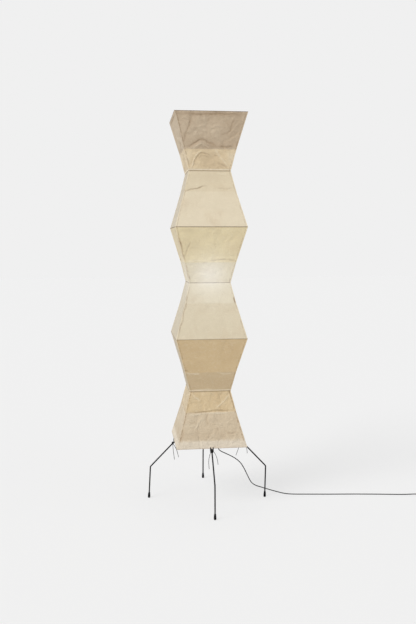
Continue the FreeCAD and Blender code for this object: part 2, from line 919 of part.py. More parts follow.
def make_holder():
    arm_points = holder_path(size("junction_width / 2 + fit_gap"), size(HOLDER_FOOT))
    arm_path = bent_path(arm_points, [size("holder_arm_bend")])
    arm = round_sweep(arm_path, size("mast_width")).cut(round_sweep(arm_path, size("mast_bore")))
    add_shape("holder_arm", arm)
    spot = ("0", "-holder_offset", HOLDER_FOOT)
    turned(
        "holder_nipple",
        [
            ("mast_width / 2 + fit_gap", "holder_arm_bend - holder_rise"),
            ("nipple_flange / 2", "holder_arm_bend - holder_rise"),
            ("nipple_flange / 2", "mast_stop"),
            ("nipple_width / 2", "mast_stop"),
            ("nipple_width / 2", "nipple_length"),
            ("nipple_width / 2 - nipple_wall", "nipple_length"),
            ("nipple_width / 2 - nipple_wall", "0"),
            ("mast_width / 2 + fit_gap", "0"),
        ],
        spot,
    )
    outer = "holder_width / 2"
    inner = "holder_width / 2 - holder_wall"
    rim = "nipple_length + insulator_height"
    turned(
        "holder_dome",
        [
            ("nipple_width / 2 + fit_gap", "mast_stop"),
            ("holder_width / 3", "mast_stop"),
            (outer, "nipple_length - holder_wall"),
            (outer, rim),
            (inner, rim),
            (inner, "nipple_length - holder_wall / 2"),
            ("holder_width / 3 - holder_wall / 2", "mast_stop + holder_wall"),
            ("nipple_width / 2 + fit_gap", "mast_stop + holder_wall"),
        ],
        spot,
    )
    turned(
        "holder_shell",
        [
            ("thread_bore / 2 + thread_wall + fit_gap", rim),
            (outer, rim),
            (outer, f"{rim} + holder_shell_height"),
            (f"{inner} + holder_wall / 2", f"{rim} + holder_shell_height"),
            (inner, f"{rim} + holder_shell_height - holder_wall / 2"),
            (inner, f"{rim} + holder_wall"),
            ("thread_bore / 2 + thread_wall + fit_gap", f"{rim} + holder_wall"),
        ],
        spot,
    )
    turned(
        "holder_insulator",
        [
            ("0", "nipple_length"),
            ("holder_width / 2 - holder_wall - fit_gap", "nipple_length"),
            ("holder_width / 2 - holder_wall - fit_gap", rim),
            ("0", rim),
        ],
        spot,
    )
    turned(
        "holder_thread",
        [
            ("thread_bore / 2", rim),
            ("thread_bore / 2 + thread_wall", rim),
            ("thread_bore / 2 + thread_wall", f"{rim} + thread_height"),
            ("thread_bore / 2", f"{rim} + thread_height"),
        ],
        spot,
    )
    turned(
        "holder_contact",
        [
            ("0", rim),
            ("contact_width / 2", rim),
            ("contact_width / 3", f"{rim} + contact_height"),
            ("0", f"{rim} + contact_height"),
        ],
        spot,
    )
    foot = f"{HOLDER_FOOT} + {rim} + contact_height + contact_gap"
    make_bulb(("0", "-holder_offset", foot))


def make_bulb(spot):
    """The screw cap, the glass and the lit filaments on their stem."""
    turned(
        "bulb_cap",
        [
            ("0", "0"),
            ("contact_width / 2", "0"),
            ("contact_width / 2 + 1", "1.5"),
            ("bulb_cap_width / 2 - 1.5", "4"),
            ("bulb_cap_width / 2", "6"),
            ("bulb_cap_width / 2", "bulb_cap_height"),
            ("bulb_neck_width / 2 + fit_gap", "bulb_cap_height"),
            ("bulb_neck_width / 2 + fit_gap", "bulb_cap_height / 2"),
            ("0", "bulb_cap_height / 2"),
        ],
        spot,
    )
    base = Vector(*(size(formula) for formula in spot))
    neck_foot = base + UP * (size("bulb_cap_height / 2") + size("contact_gap"))
    centre = base + UP * size("bulb_rise")
    outside = bulb_solid(neck_foot, centre, size("bulb_neck_width / 2"), size("bulb_width / 2"))
    wall = size("bulb_wall")
    inside = bulb_solid(
        neck_foot, centre, size("bulb_neck_width / 2") - wall, size("bulb_width / 2") - wall
    )
    add_shape("bulb_glass", outside.cut(inside))
    make_filaments(base)


def make_filaments(base):
    """The glass stem with four lit filaments that lean on it, each with a wire at its foot."""
    stem_foot = size("bulb_cap_height / 2")
    stem_top = size("bulb_rise + bulb_width * 0.1")
    filament_foot = size("bulb_rise - bulb_width * 0.42")
    filament_half = size("filament_width / 2")
    spread = size("bulb_width * 0.15")
    unit = Part.makeCone(
        size("stem_foot_width / 2"),
        size("stem_head_width / 2"),
        stem_top - stem_foot,
        base + UP * stem_foot,
    )
    for number in range(4):
        way = direction(45 + 90 * number)
        foot = base + UP * filament_foot + way * spread
        head = base + UP * (stem_top - 2 * filament_half) + way * filament_half
        rod = Part.makeCylinder(filament_half, (head - foot).Length, foot, head - foot)
        lead_start = base + UP * (filament_foot + filament_half)
        lead = Part.makeCylinder(size("filament_lead_width / 2"), spread, lead_start, way)
        unit = unit.fuse([rod, lead])
    add_shape("bulb_filament_unit", unit)


def bulb_solid(neck_foot, centre, neck_half, globe_half):
    """Neck, shoulder and globe in one outline: two arcs and two straight sides, turned."""
    axis_x = neck_foot.x
    axis_y = neck_foot.y

    def spot(radius, height):
        return Vector(axis_x + radius, axis_y, height)

    # the straight shoulder leaves the neck and meets the globe as a tangent
    shoulder = spot(neck_half, neck_foot.z + size("bulb_cap_height") * 0.62)
    to_centre = Vector(axis_x, axis_y, centre.z) - shoulder
    reach = to_centre.Length
    swing = math.asin(globe_half / reach)
    bearing = math.atan2(to_centre.x, to_centre.z)
    run = math.sqrt(reach**2 - globe_half**2)
    touch = shoulder + Vector(math.sin(bearing + swing), 0, math.cos(bearing + swing)) * run
    top = spot(0, centre.z + globe_half)
    equator = spot(globe_half, centre.z)
    edges = [
        Part.LineSegment(spot(0, neck_foot.z), spot(neck_half, neck_foot.z)).toShape(),
        Part.LineSegment(spot(neck_half, neck_foot.z), shoulder).toShape(),
        Part.LineSegment(shoulder, touch).toShape(),
        Part.Arc(touch, equator, top).toShape(),
        Part.LineSegment(top, spot(0, neck_foot.z)).toShape(),
    ]
    return Part.Face(Part.Wire(edges)).revolve(spot(0, 0), UP, 360)


# ---------------------------------------------------------------- shade carrier


def make_carrier():
    spoke_axis = (
        f"shade_base + {SECTIONS} * section_height - ring_wire - paper_gap / 3 - spoke_width / 2"
    )
    collar = turned(
        "carrier_collar",
        [
            ("mast_width / 2 + slide_gap", "-collar_below"),
            ("collar_width / 2 - collar_edge", "-collar_below"),
            ("collar_width / 2", "collar_edge - collar_below"),
            ("collar_width / 2", "collar_above - collar_edge"),
            ("collar_width / 2 - collar_edge", "collar_above"),
            ("mast_width / 2 + slide_gap", "collar_above"),
        ],
        ("0", "0", spoke_axis),
    )
    spoke_root = "mast_width / 2 + slide_gap + 2"
    spokes = []
    spoke_end = ring_half(SECTIONS + 1) - size("fit_gap")
    for quarter in range(4):
        way = direction(90 * quarter)
        bore(collar, "spoke_width / 2 + fit_gap", "collar_width", tuple(
            str(part) for part in way * size(spoke_root)), facing(way))
        start = way * size(spoke_root) + UP * size(spoke_axis)
        spokes.append(
            Part.makeCylinder(
                size("spoke_width / 2"), spoke_end - size(spoke_root), start, way
            )
        )
    add_shape("carrier_spokes", Part.makeCompound(spokes))
    screw_drop = "(collar_above + collar_below) / 2 - 1"
    screw_way = direction(THUMBSCREW_TURN)
    bore(
        collar,
        "grub_width / 2 + fit_gap",
        "collar_width",
        ("0", "0", f"0 - ({screw_drop})"),
        facing(screw_way),
    )
    make_thumbscrew(f"{spoke_axis} - ({screw_drop})", screw_way)


THUMBSCREW_TURN = 45


def make_thumbscrew(height, way):
    """The screw that clamps the collar to the mast, with a fluted head."""
    start = size("mast_width / 2 + slide_gap")
    head_face = size("collar_width / 2") + size("slide_gap") * 2
    screw = turned(
        "carrier_thumbscrew",
        [
            ("0", str(start)),
            ("grub_width / 2", str(start)),
            ("grub_width / 2", str(head_face)),
            ("thumbscrew_head / 2 - 1", str(head_face)),
            ("thumbscrew_head / 2", f"{head_face} + 1"),
            ("thumbscrew_head / 2", f"{head_face} + thumbscrew_head_length - 1"),
            ("thumbscrew_head / 2 - 1", f"{head_face} + thumbscrew_head_length"),
            ("0", f"{head_face} + thumbscrew_head_length"),
        ],
        ("0", "0", height),
        facing(way),
    )
    flute = bore(
        screw,
        "flute_width / 2",
        "thumbscrew_head_length + 2",
        ("thumbscrew_head / 2", "0", f"{head_face} - 1"),
    )
    pattern = screw.newObject("PartDesign::PolarPattern", "thumbscrew_flutes")
    pattern.Originals = [flute]
    axis = next(item for item in screw.Origin.OriginFeatures if item.Role == "Z_Axis")
    pattern.Axis = (axis, [""])
    pattern.Angle = 360
    pattern.Occurrences = 16
    screw.Tip = pattern
    document.recompute()


# ---------------------------------------------------------------- mains cord, switch and plug

SWITCH_ENTRY = Vector(*CORD_ROUTE[-1])
SWITCH_WAY = (SWITCH_ENTRY - Vector(*CORD_ROUTE[-2])).normalize()


def along(start, way, step):
    """A point forwards, to the left and up from a start."""
    forwards, left, up = step
    return start + way * forwards + UP.cross(way) * left + UP * up


def make_gland():
    """The cord's gland in the hub's side: threaded barrel, nut and tapered boot in one piece."""
    turned(
        "cord_gland",
        [
            ("cord_width / 2 + cord_gap", "hub_chamber / 2 + 1"),
            ("gland_thread / 2", "hub_chamber / 2 + 1"),
            ("gland_thread / 2", "hub_width / 2 + fit_gap"),
            ("gland_nut / 2", "hub_width / 2 + fit_gap"),
            ("gland_nut / 2", "hub_width / 2 + gland_nut_length"),
            ("boot_root / 2", "hub_width / 2 + gland_nut_length"),
            ("boot_tip / 2", "hub_width / 2 + gland_nut_length + boot_length"),
            ("cord_width / 2 + cord_gap", "hub_width / 2 + gland_nut_length + boot_length"),
        ],
        ("0", "0", "arm_height"),
        facing(direction(size("gland_turn"))),
    )


def make_leads():
    """The lead inside the lamp, and the free cord that goes on from the gland to the switch."""
    gland_way = direction(size("gland_turn"))
    exit_point = gland_way * size("hub_width / 2 + gland_nut_length + boot_length")
    exit_point.z = size("arm_height")
    foot = Vector(0, 0, size("arm_height"))
    holder_corner = Vector(0, -size("holder_offset"), size("junction_height"))
    lead_top = Vector(0, holder_corner.y, size(f"{HOLDER_FOOT} + nipple_length"))
    points = [exit_point, foot, UP * size("junction_height"), holder_corner, lead_top]
    radii = [size("lead_bend"), size("lead_bend"), size("holder_arm_bend")]
    add_shape("inner_lead", round_sweep(bent_path(points, radii), size("cord_width")))
    straight_end = exit_point + gland_way * size("cord_straight")
    route = [exit_point, straight_end] + [Vector(*point) for point in CORD_ROUTE]
    add_shape("cord_to_switch", cord_tube("cord_to_switch", route, size("cord_width")))


def soften(body, solid, heights, radius):
    """Round the edges of a block that lie in the level planes at the given heights."""
    rims = [
        f"Edge{number}"
        for number, edge in enumerate(solid.Shape.Edges, 1)
        if any(
            abs(edge.BoundBox.ZMin - height) < 0.01 and abs(edge.BoundBox.ZMax - height) < 0.01
            for height in heights
        )
    ]
    softening = body.newObject("PartDesign::Fillet", body.Name + "_edges")
    softening.Base = (solid, rims)
    softening.setExpression("Radius", bound(radius))
    document.recompute()


def switch_block(label, low, high):
    """A block of the switch's round-ended plan between two heights, in the switch's own frame."""
    body = document.addObject("PartDesign::Body", label)
    half_length = "switch_length / 2"
    half_width = "switch_width / 2"
    outline = sketch_outline(
        body,
        "XY_Plane",
        [
            (f"-{half_length}", f"-{half_width}"),
            (half_length, f"-{half_width}"),
            (half_length, half_width),
            (f"-{half_length}", half_width),
        ],
    )
    outline.setExpression("AttachmentOffset.Base.z", bound(low))
    pad = body.newObject("PartDesign::Pad", label + "_pad")
    pad.Profile = outline
    pad.setExpression("Length", bound(f"{high} - ({low})"))
    document.recompute()
    upright = [
        f"Edge{number}"
        for number, edge in enumerate(pad.Shape.Edges, 1)
        if abs(edge.tangentAt(edge.FirstParameter).z) > 0.9
    ]
    rounding = body.newObject("PartDesign::Fillet", label + "_corners")
    rounding.Base = (pad, upright)
    rounding.setExpression("Radius", bound("switch_corner"))
    document.recompute()
    return body, rounding


def hollow(body, low, high):
    """The switch's inside, cut from a block between two heights."""
    box = body.newObject("PartDesign::SubtractiveBox", body.Name + "_hollow")
    length = "switch_length - switch_corner * 1.6"
    width = "switch_width - switch_wall * 2"
    box.setExpression("Length", bound(length))
    box.setExpression("Width", bound(width))
    box.setExpression("Height", bound(f"{high} - ({low})"))
    seat(box, (f"-({length}) / 2", f"-({width}) / 2", low))
    document.recompute()
    return box


def make_switch():
    """An in-line foot switch: base with two tapered cord boots, cover, and a round button."""
    centre = switch_centre()
    turn = Rotation(Vector(1, 0, 0), SWITCH_WAY)
    base, base_block = switch_block("switch_base", "0", "switch_split")
    soften(base, base_block, [0], "switch_edge / 2")
    hollow(base, "switch_wall", "switch_split + 1")
    boot_start = "switch_length / 2 - switch_wall"
    for sign, way in (("-1", Vector(-1, 0, 0)), ("1", Vector(1, 0, 0))):
        cone = base.newObject("PartDesign::AdditiveCone", "switch_boot")
        cone.setExpression("Radius1", bound("boot_root / 2"))
        cone.setExpression("Radius2", bound("boot_tip / 2"))
        cone.setExpression("Height", bound("boot_length + switch_wall"))
        seat(cone, (f"{sign} * ({boot_start})", "0", "switch_cord_height"), facing(way))
        document.recompute()
    for spot in switch_screw_spots():
        bore(
            base,
            "cover_screw_width / 2 + fit_gap",
            "switch_split + 1",
            (str(spot.x), str(spot.y), "-0.5"),
        )
        bore(
            base,
            "cover_screw_head / 2 + fit_gap",
            "switch_screw_seat + 1",
            (str(spot.x), str(spot.y), "-1"),
        )
    cover, cover_block = switch_block("switch_cover", "switch_split", "switch_height")
    soften(cover, cover_block, [size("switch_height")], "switch_edge")
    hollow(cover, "switch_split - 1", "switch_height - switch_wall")
    bore(cover, "button_width / 2 + cord_gap", "switch_height", ("0", "0", "switch_split"))
    for spot in switch_screw_spots():
        bore(
            cover,
            "cover_screw_width / 2 + fit_gap",
            "cover_screw_length + switch_screw_seat - switch_split + 1",
            (str(spot.x), str(spot.y), "switch_split"),
        )
    for block, label in ((base, "switch_base"), (cover, "switch_cover")):
        block.Placement = Placement(centre, turn)
        keep(block, label)
    turned(
        "switch_button",
        [
            ("0", "switch_height - switch_wall - cord_gap - button_flange"),
            (
                "button_width / 2 + button_flange",
                "switch_height - switch_wall - cord_gap - button_flange",
            ),
            ("button_width / 2 + button_flange", "switch_height - switch_wall - cord_gap"),
            ("button_width / 2", "switch_height - switch_wall - cord_gap"),
            ("button_width / 2", "switch_height + button_rise - 0.8"),
            ("button_width / 2 - 0.8", "switch_height + button_rise"),
            ("0", "switch_height + button_rise"),
        ],
        (str(centre.x), str(centre.y), "0"),
        turn,
    )


def switch_centre():
    """The switch's middle on the floor: the cord meets the near boot's end."""
    centre = SWITCH_ENTRY + SWITCH_WAY * size("switch_length / 2 + boot_length")
    centre.z = 0
    return centre


def switch_screw_spots():
    """Two screws from below, in the solid ends of the switch, in its own frame."""
    reach = size("switch_length / 2 - switch_corner / 2 - switch_wall / 2 + 1")
    side = size("switch_width / 2 - switch_corner / 2")
    return [Vector(-reach, side, 0), Vector(reach, -side, 0)]


def switch_screws():
    centre = switch_centre()
    screws = []
    for spot in switch_screw_spots():
        foot = along(centre, SWITCH_WAY, spot)
        foot.z = size("switch_screw_seat")
        screws.append(cover_screw(foot, UP))
    return screws


def coil_points():
    """Quarter-turn stations along the coil, each with its heading, in the coil's own frame.

    The coil winds in, climbs a layer in the half turn where it reverses, and winds out again.
    """
    pitch = size("coil_pitch")
    outer = size("coil_outer")
    layer_turns = size("coil_layer_turns")
    reverse = layer_turns + 0.25
    total = 2 * layer_turns + 0.5
    stations = []
    for quarter in range(int(round(total * 4)) + 1):
        turns = quarter / 4
        inward = turns if turns <= reverse else 2 * reverse - turns
        radius = outer - pitch * inward
        slope = 0 if turns == reverse else (-pitch if turns < reverse else pitch)
        share = min(max((turns - layer_turns) / 0.5, 0), 1)
        climb = share * share * (3 - 2 * share)
        climb_rate = 6 * share * (1 - share) / 0.5
        angle = 2 * math.pi * turns - math.pi / 2
        outwards = Vector(math.cos(angle), math.sin(angle), 0)
        ahead = UP.cross(outwards)
        point = outwards * radius + UP * (climb * pitch)
        heading = outwards * slope + ahead * (2 * math.pi * radius) + UP * (climb_rate * pitch)
        stations.append((point, heading.normalize()))
    return stations


def biarc(start, start_way, end, end_way):
    """Two arcs that leave the start and reach the end along the given ways."""
    chord = end - start
    both = start_way + end_way
    a = both.dot(both) - 4
    b = -2 * chord.dot(both)
    c = chord.dot(chord)
    reach = c / -b if abs(a) < 1e-9 else (-b - math.sqrt(b * b - 4 * a * c)) / (2 * a)
    if reach < 0:
        reach = (-b + math.sqrt(b * b - 4 * a * c)) / (2 * a)
    first_corner = start + start_way * reach
    second_corner = end - end_way * reach
    middle = (first_corner + second_corner) * 0.5
    return [arc_between(start, first_corner, middle), arc_between(middle, second_corner, end)]


def arc_between(start, corner, end):
    """The arc that touches both sides of a corner whose two sides are equal."""
    half_turn = (corner - start).getAngle(end - corner) / 2
    inward = ((start - corner).normalize() + (end - corner).normalize()).normalize()
    reach = (corner - start).Length
    crown = reach * (1 / math.sin(half_turn) - 1 / math.tan(half_turn))
    return Part.Arc(start, corner + inward * crown, end).toShape()


def make_coil():
    """The cord's put-away length: the lead to the coil, the coil, its tie, and the plug."""
    width = size("cord_width")
    boot_end = along(switch_centre(), SWITCH_WAY, (size("switch_length / 2 + boot_length"), 0, 0))
    boot_end.z = size("switch_cord_height")
    lead = [along(boot_end, SWITCH_WAY, step) for step in COIL_LEAD]
    for point in lead[-2:]:
        point.z = size("coil_lift") + width / 2
    add_shape("cord_to_coil", cord_tube("cord_to_coil", lead, width))

    start = lead[-1]
    way = (lead[-1] - lead[-2]).normalize()
    stations = coil_points()
    first_point, first_way = stations[0]
    turn = Rotation(Vector(first_way.x, first_way.y, 0), way)
    straight = width
    origin = start + way * straight - turn.multVec(first_point)
    placed = [(origin + turn.multVec(p), turn.multVec(w)) for p, w in stations]
    edges = [Part.LineSegment(start, placed[0][0]).toShape()]
    for (point, heading), (next_point, next_heading) in zip(placed, placed[1:]):
        edges += biarc(point, heading, next_point, next_heading)
    last_point, last_way = placed[-1]
    coil_end = last_point + last_way * straight
    edges.append(Part.LineSegment(last_point, coil_end).toShape())
    path = Part.Wire(edges)
    coil = round_sweep(path, width)
    share = coil.Volume / (math.pi * width**2 / 4 * path.Length)
    gap = least_gap(edges, width)
    print(f"cord_coil: length {path.Length:.0f}, least gap {gap:.2f}, volume share {share:.4f}")
    add_shape("cord_coil", coil)
    make_coil_tie(origin, turn)

    plug_lead = [along(coil_end, last_way, step) for step in PLUG_LEAD]
    for point in plug_lead[-2:]:
        point.z = size("plug_thickness / 2")
    add_shape("cord_to_plug", cord_tube("cord_to_plug", plug_lead, width))
    make_plug(plug_lead[-1], (plug_lead[-1] - plug_lead[-2]).normalize())


def least_gap(edges, width):
    """The least distance between turns, on points along the path, less the cord's width."""
    points = []
    travelled = 0
    for edge in edges:
        steps = max(2, int(edge.Length / 1.5))
        for point in edge.discretize(steps)[:-1]:
            points.append((travelled, point))
            travelled += edge.Length / (steps - 1)
    least = math.inf
    for index, (place, point) in enumerate(points):
        for other_place, other in points[index + 1 :]:
            if other_place - place > 12 * width / 2:
                least = min(least, point.distanceToPoint(other))
    return least - width


def make_coil_tie(origin, turn):
    """A strap round the coil's turns, on the side away from the lamp; it lies on the floor."""
    width = size("cord_width")
    pitch = size("coil_pitch")
    gap = size("tie_gap")
    strap = size("tie_thickness")
    half = size("tie_width / 2")
    outer_turn = size("coil_outer") - pitch * 0.25
    inner_turn = size("coil_outer") - pitch * (size("coil_layer_turns") - 0.25)
    outer_edge = outer_turn + width / 2 + gap
    inner_edge = math.sqrt(inner_turn**2 - half**2) - width / 2 - gap
    low = strap - size("coil_lift") - width / 2
    high = width / 2 + pitch + gap
    inside = Part.makeBox(outer_edge - inner_edge, 4 * half, high - low)
    inside.translate(Vector(inner_edge, -2 * half, low))
    outside = Part.makeBox(outer_edge - inner_edge + 2 * strap, 2 * half, high - low + 2 * strap)
    outside.translate(Vector(inner_edge - strap, -half, low - strap))
    lengthwise = [
        edge for edge in outside.Edges if abs(edge.tangentAt(edge.FirstParameter).y) > 0.9
    ]
    band = outside.makeFillet(strap * 1.5, lengthwise).cut(inside)
    band.Placement = Placement(origin, turn)
    add_shape("coil_tie", band)


def make_plug(entry, way):
    """A two-pin plug with its tapered boot, lying flat."""
    turn = Rotation(Vector(1, 0, 0), way)
    body = document.addObject("PartDesign::Body", "plug_body")
    start = "boot_length"
    end = "boot_length + plug_length"
    outline = sketch_outline(
        body,
        "XY_Plane",
        [
            (start, "-plug_neck / 2"),
            (f"{start} + plug_length / 3", "-plug_width / 2"),
            (end, "-plug_width / 2"),
            (end, "plug_width / 2"),
            (f"{start} + plug_length / 3", "plug_width / 2"),
            (start, "plug_neck / 2"),
        ],
    )
    outline.setExpression("AttachmentOffset.Base.z", bound("-plug_thickness / 2"))
    pad = body.newObject("PartDesign::Pad", "plug_pad")
    pad.Profile = outline
    pad.setExpression("Length", bound("plug_thickness"))
    document.recompute()
    sides = [
        f"Edge{number}"
        for number, edge in enumerate(pad.Shape.Edges, 1)
        if abs(edge.tangentAt(edge.FirstParameter).z) > 0.9
        and abs(edge.CenterOfMass.y) > size("plug_width") * 0.4
    ]
    rounding = body.newObject("PartDesign::Fillet", "plug_corners")
    rounding.Base = (pad, sides)
    rounding.setExpression("Radius", bound("plug_corner"))
    document.recompute()
    face = size("plug_thickness / 2")
    soften(body, rounding, [-face, face], "plug_edge")
    boot = body.newObject("PartDesign::AdditiveCone", "plug_boot")
    boot.setExpression("Radius1", bound("boot_tip / 2"))
    boot.setExpression("Radius2", bound("boot_root / 2"))
    boot.setExpression("Height", bound("boot_length + 1"))
    seat(boot, ("0", "0", "0"), facing(Vector(1, 0, 0)))
    document.recompute()
    for side in ("-1", "1"):
        bore(
            body,
            "pin_width / 2 + fit_gap",
            "plug_length / 2",
            (f"{end} - plug_length / 3", f"{side} * pin_spacing / 2", "0"),
            facing(Vector(1, 0, 0)),
        )
    body.Placement = Placement(entry, turn)
    keep(body, "plug_body")
    pins = []
    for side in (-1, 1):
        root = Vector(size(f"{end} - plug_length / 3"), side * size("pin_spacing / 2"), 0)
        length = size("plug_length / 3 + pin_length")
        pin = Part.makeCylinder(size("pin_width / 2"), length, root, Vector(1, 0, 0))
        tip = [edge for edge in pin.Edges if abs(edge.CenterOfMass.x - root.x - length) < 0.01]
        pins.append(pin.makeFillet(size("pin_width") * 0.35, tip))
    pair = Part.makeCompound(pins)
    pair.Placement = Placement(entry, turn)
    add_shape("plug_pins", pair)


for ring_number in range(1, SECTIONS + 2):
    make_ring(ring_number)
for section_number in range(1, SECTIONS + 1):
    make_paper(section_number)
for leg_name in LEGS:
    make_leg(leg_name)
    make_tie(leg_name)
neck_screw_height = make_hub()
make_hub_cover()
make_screws(neck_screw_height)
make_mast()
make_holder()
make_carrier()
make_gland()
make_leads()
make_switch()
make_coil()

document.recompute()
for item in document.Objects:
    if "Invalid" in item.State or "Error" in item.State:
        raise RuntimeError(f"{item.Label} did not build: {item.State}")

os.makedirs("parts", exist_ok=True)
for subpart in SUBPARTS:
    solid_shape = subpart.Shape
    if solid_shape.isNull() or not solid_shape.isValid() or not solid_shape.Solids:
        raise RuntimeError(f"{subpart.Label} has no valid solid")
    solid_shape.exportStep(f"parts/{subpart.Label}.step")
print(f"{len(SUBPARTS)} sub-parts written")
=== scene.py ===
"""Paper lantern floor lamp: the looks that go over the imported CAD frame. Metres, +Z up."""
import math

import bmesh
import bpy
import numpy as np
from mathutils import Matrix, Vector


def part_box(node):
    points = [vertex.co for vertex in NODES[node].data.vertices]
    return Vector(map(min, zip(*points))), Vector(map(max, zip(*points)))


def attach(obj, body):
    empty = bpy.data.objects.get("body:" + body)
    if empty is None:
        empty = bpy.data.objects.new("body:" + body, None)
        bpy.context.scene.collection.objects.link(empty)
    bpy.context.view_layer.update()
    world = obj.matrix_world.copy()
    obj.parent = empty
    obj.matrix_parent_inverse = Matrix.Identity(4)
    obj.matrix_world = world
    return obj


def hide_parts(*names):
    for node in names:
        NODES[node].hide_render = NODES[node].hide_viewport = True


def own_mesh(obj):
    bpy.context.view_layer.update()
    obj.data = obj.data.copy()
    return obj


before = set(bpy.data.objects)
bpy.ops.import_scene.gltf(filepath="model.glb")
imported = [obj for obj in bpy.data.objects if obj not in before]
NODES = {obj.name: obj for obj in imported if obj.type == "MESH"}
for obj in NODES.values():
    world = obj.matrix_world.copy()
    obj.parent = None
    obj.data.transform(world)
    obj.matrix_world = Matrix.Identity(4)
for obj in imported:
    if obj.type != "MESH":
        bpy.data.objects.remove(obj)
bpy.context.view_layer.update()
MM = 0.001
UP = Vector((0, 0, 1))


# ---------------------------------------------------------------- camera, light and stage

CAMERA_PLACE = (-0.41745, -3.51707, 1.30206)
CAMERA_YAW = 0.11865  # radians from +Y towards +X
CAMERA_PITCH = 0.09448  # radians downwards
CAMERA_ROLL = -0.00277
CAMERA_LENS = 40.56  # mm
CAMERA_SENSOR = 36  # mm, along the frame's long side
CAMERA_CLIP = (0.02, 60)
PHOTO_GREY = 0.871  # the photo's even background, as a linear value
KEY_WAY = (-0.66, -0.38, 0.65)
KEY_SHARE = 0.60
KEY_SOFTNESS = 30  # degrees
FILL_WAY = (0.75, -0.35, 0.45)
FILL_SHARE = 0.12
FILL_SOFTNESS = 60  # degrees
WORLD_LIGHT = 0.50
FLOOR_REACH = 25
FLOOR_LEVEL = 0.93  # how bright the lamps and the world make a white floor
FLOOR_SHARE = 0.25  # how much of the floor's brightness they make, and so its shadows
FLOOR_BOUNCE = 0.8  # the floor's grey for the rays that only carry light


def add_object(name, data):
    made = bpy.data.objects.new(name, data)
    bpy.context.scene.collection.objects.link(made)
    return made


def make_camera():
    level_part = math.cos(CAMERA_PITCH)
    forward = Vector((math.sin(CAMERA_YAW) * level_part, math.cos(CAMERA_YAW) * level_part,
                      -math.sin(CAMERA_PITCH)))
    level = forward.cross(UP).normalized()
    upright = level.cross(forward)
    right = level * math.cos(CAMERA_ROLL) + upright * math.sin(CAMERA_ROLL)
    top = right.cross(forward)
    camera = add_object("camera", bpy.data.cameras.new("camera"))
    turn = Matrix((right, top, -forward)).transposed().to_4x4()
    camera.matrix_world = Matrix.Translation(CAMERA_PLACE) @ turn
    camera.data.lens = CAMERA_LENS
    camera.data.sensor_width = CAMERA_SENSOR
    camera.data.sensor_fit = "AUTO"
    camera.data.clip_start, camera.data.clip_end = CAMERA_CLIP
    bpy.context.scene.camera = camera


def make_lamp(name, towards, share, softness):
    """A wide, even light from a direction. Its share is what it adds to a white surface that
    faces it."""
    data = bpy.data.lights.new(name, "SUN")
    data.energy = share * math.pi
    data.angle = math.radians(softness)
    lamp = add_object(name, data)
    lamp.rotation_euler = Vector(towards).to_track_quat("Z", "Y").to_euler()


def seen_rays(tree):
    """1 for rays that show the backdrop: from the camera, in gloss and through glass."""
    paths = tree.nodes.new("ShaderNodeLightPath")
    both = calc(tree, "MAXIMUM", paths.outputs["Is Camera Ray"], paths.outputs["Is Glossy Ray"])
    return calc(tree, "MAXIMUM", both, paths.outputs["Is Transmission Ray"])


def make_world():
    world = bpy.data.worlds.new("studio")
    bpy.context.scene.world = world
    world.use_nodes = True
    tree = world.node_tree
    lit = tree.nodes["Background"]
    lit.inputs["Color"].default_value = (1, 1, 1, 1)
    lit.inputs["Strength"].default_value = WORLD_LIGHT
    shown = tree.nodes.new("ShaderNodeBackground")
    shown.inputs["Color"].default_value = (PHOTO_GREY, PHOTO_GREY, PHOTO_GREY, 1)
    mix = tree.nodes.new("ShaderNodeMixShader")
    tree.links.new(seen_rays(tree), mix.inputs[0])
    tree.links.new(lit.outputs[0], mix.inputs[1])
    tree.links.new(shown.outputs[0], mix.inputs[2])
    tree.links.new(mix.outputs[0], tree.nodes["World Output"].inputs["Surface"])


def make_stage():
    """A pale floor that runs into the backdrop with no edge, and keeps a faint shadow."""
    mesh = bpy.data.meshes.new("floor")
    square = ((-1, -1), (1, -1), (1, 1), (-1, 1))
    corners = [(x * FLOOR_REACH, y * FLOOR_REACH, 0) for x, y in square]
    mesh.from_pydata(corners, [], [(0, 1, 2, 3)])
    floor = add_object("floor", mesh)
    material = bpy.data.materials.new("floor")
    material.use_nodes = True
    tree = material.node_tree
    shader = tree.nodes["Principled BSDF"]
    shader.inputs["Roughness"].default_value = 1
    shader.inputs["Specular IOR Level"].default_value = 0
    base = PHOTO_GREY * FLOOR_SHARE / FLOOR_LEVEL
    shown = tree.nodes.new("ShaderNodeEmission")
    shown.inputs["Strength"].default_value = PHOTO_GREY * (1 - FLOOR_SHARE)
    dim = tree.nodes.new("ShaderNodeBsdfDiffuse")
    dim.inputs["Color"].default_value = (base, base, base, 1)
    pair = tree.nodes.new("ShaderNodeAddShader")
    tree.links.new(shown.outputs[0], pair.inputs[0])
    tree.links.new(dim.outputs[0], pair.inputs[1])
    shader.inputs["Base Color"].default_value = (FLOOR_BOUNCE, FLOOR_BOUNCE, FLOOR_BOUNCE, 1)
    mix = tree.nodes.new("ShaderNodeMixShader")
    tree.links.new(seen_rays(tree), mix.inputs[0])
    tree.links.new(shader.outputs[0], mix.inputs[1])
    tree.links.new(pair.outputs[0], mix.inputs[2])
    tree.links.new(mix.outputs[0], tree.nodes["Material Output"].inputs["Surface"])
    mesh.materials.append(material)


# ---------------------------------------------------------------- material helpers


def add_node(tree, kind, inputs, **settings):
    made = tree.nodes.new("ShaderNode" + kind)
    for name, value in settings.items():
        setattr(made, name, value)
    for name, value in inputs.items():
        if isinstance(value, bpy.types.NodeSocket):
            tree.links.new(value, made.inputs[name])
        else:
            made.inputs[name].default_value = value
    return made


def calc(tree, operation, *values):
    inputs = dict(enumerate(values))
    return add_node(tree, "Math", inputs, operation=operation).outputs[0]


def blend_colours(tree, share, first, second):
    inputs = {0: share, 6: first, 7: second}
    return add_node(tree, "Mix", inputs, data_type="RGBA").outputs[2]


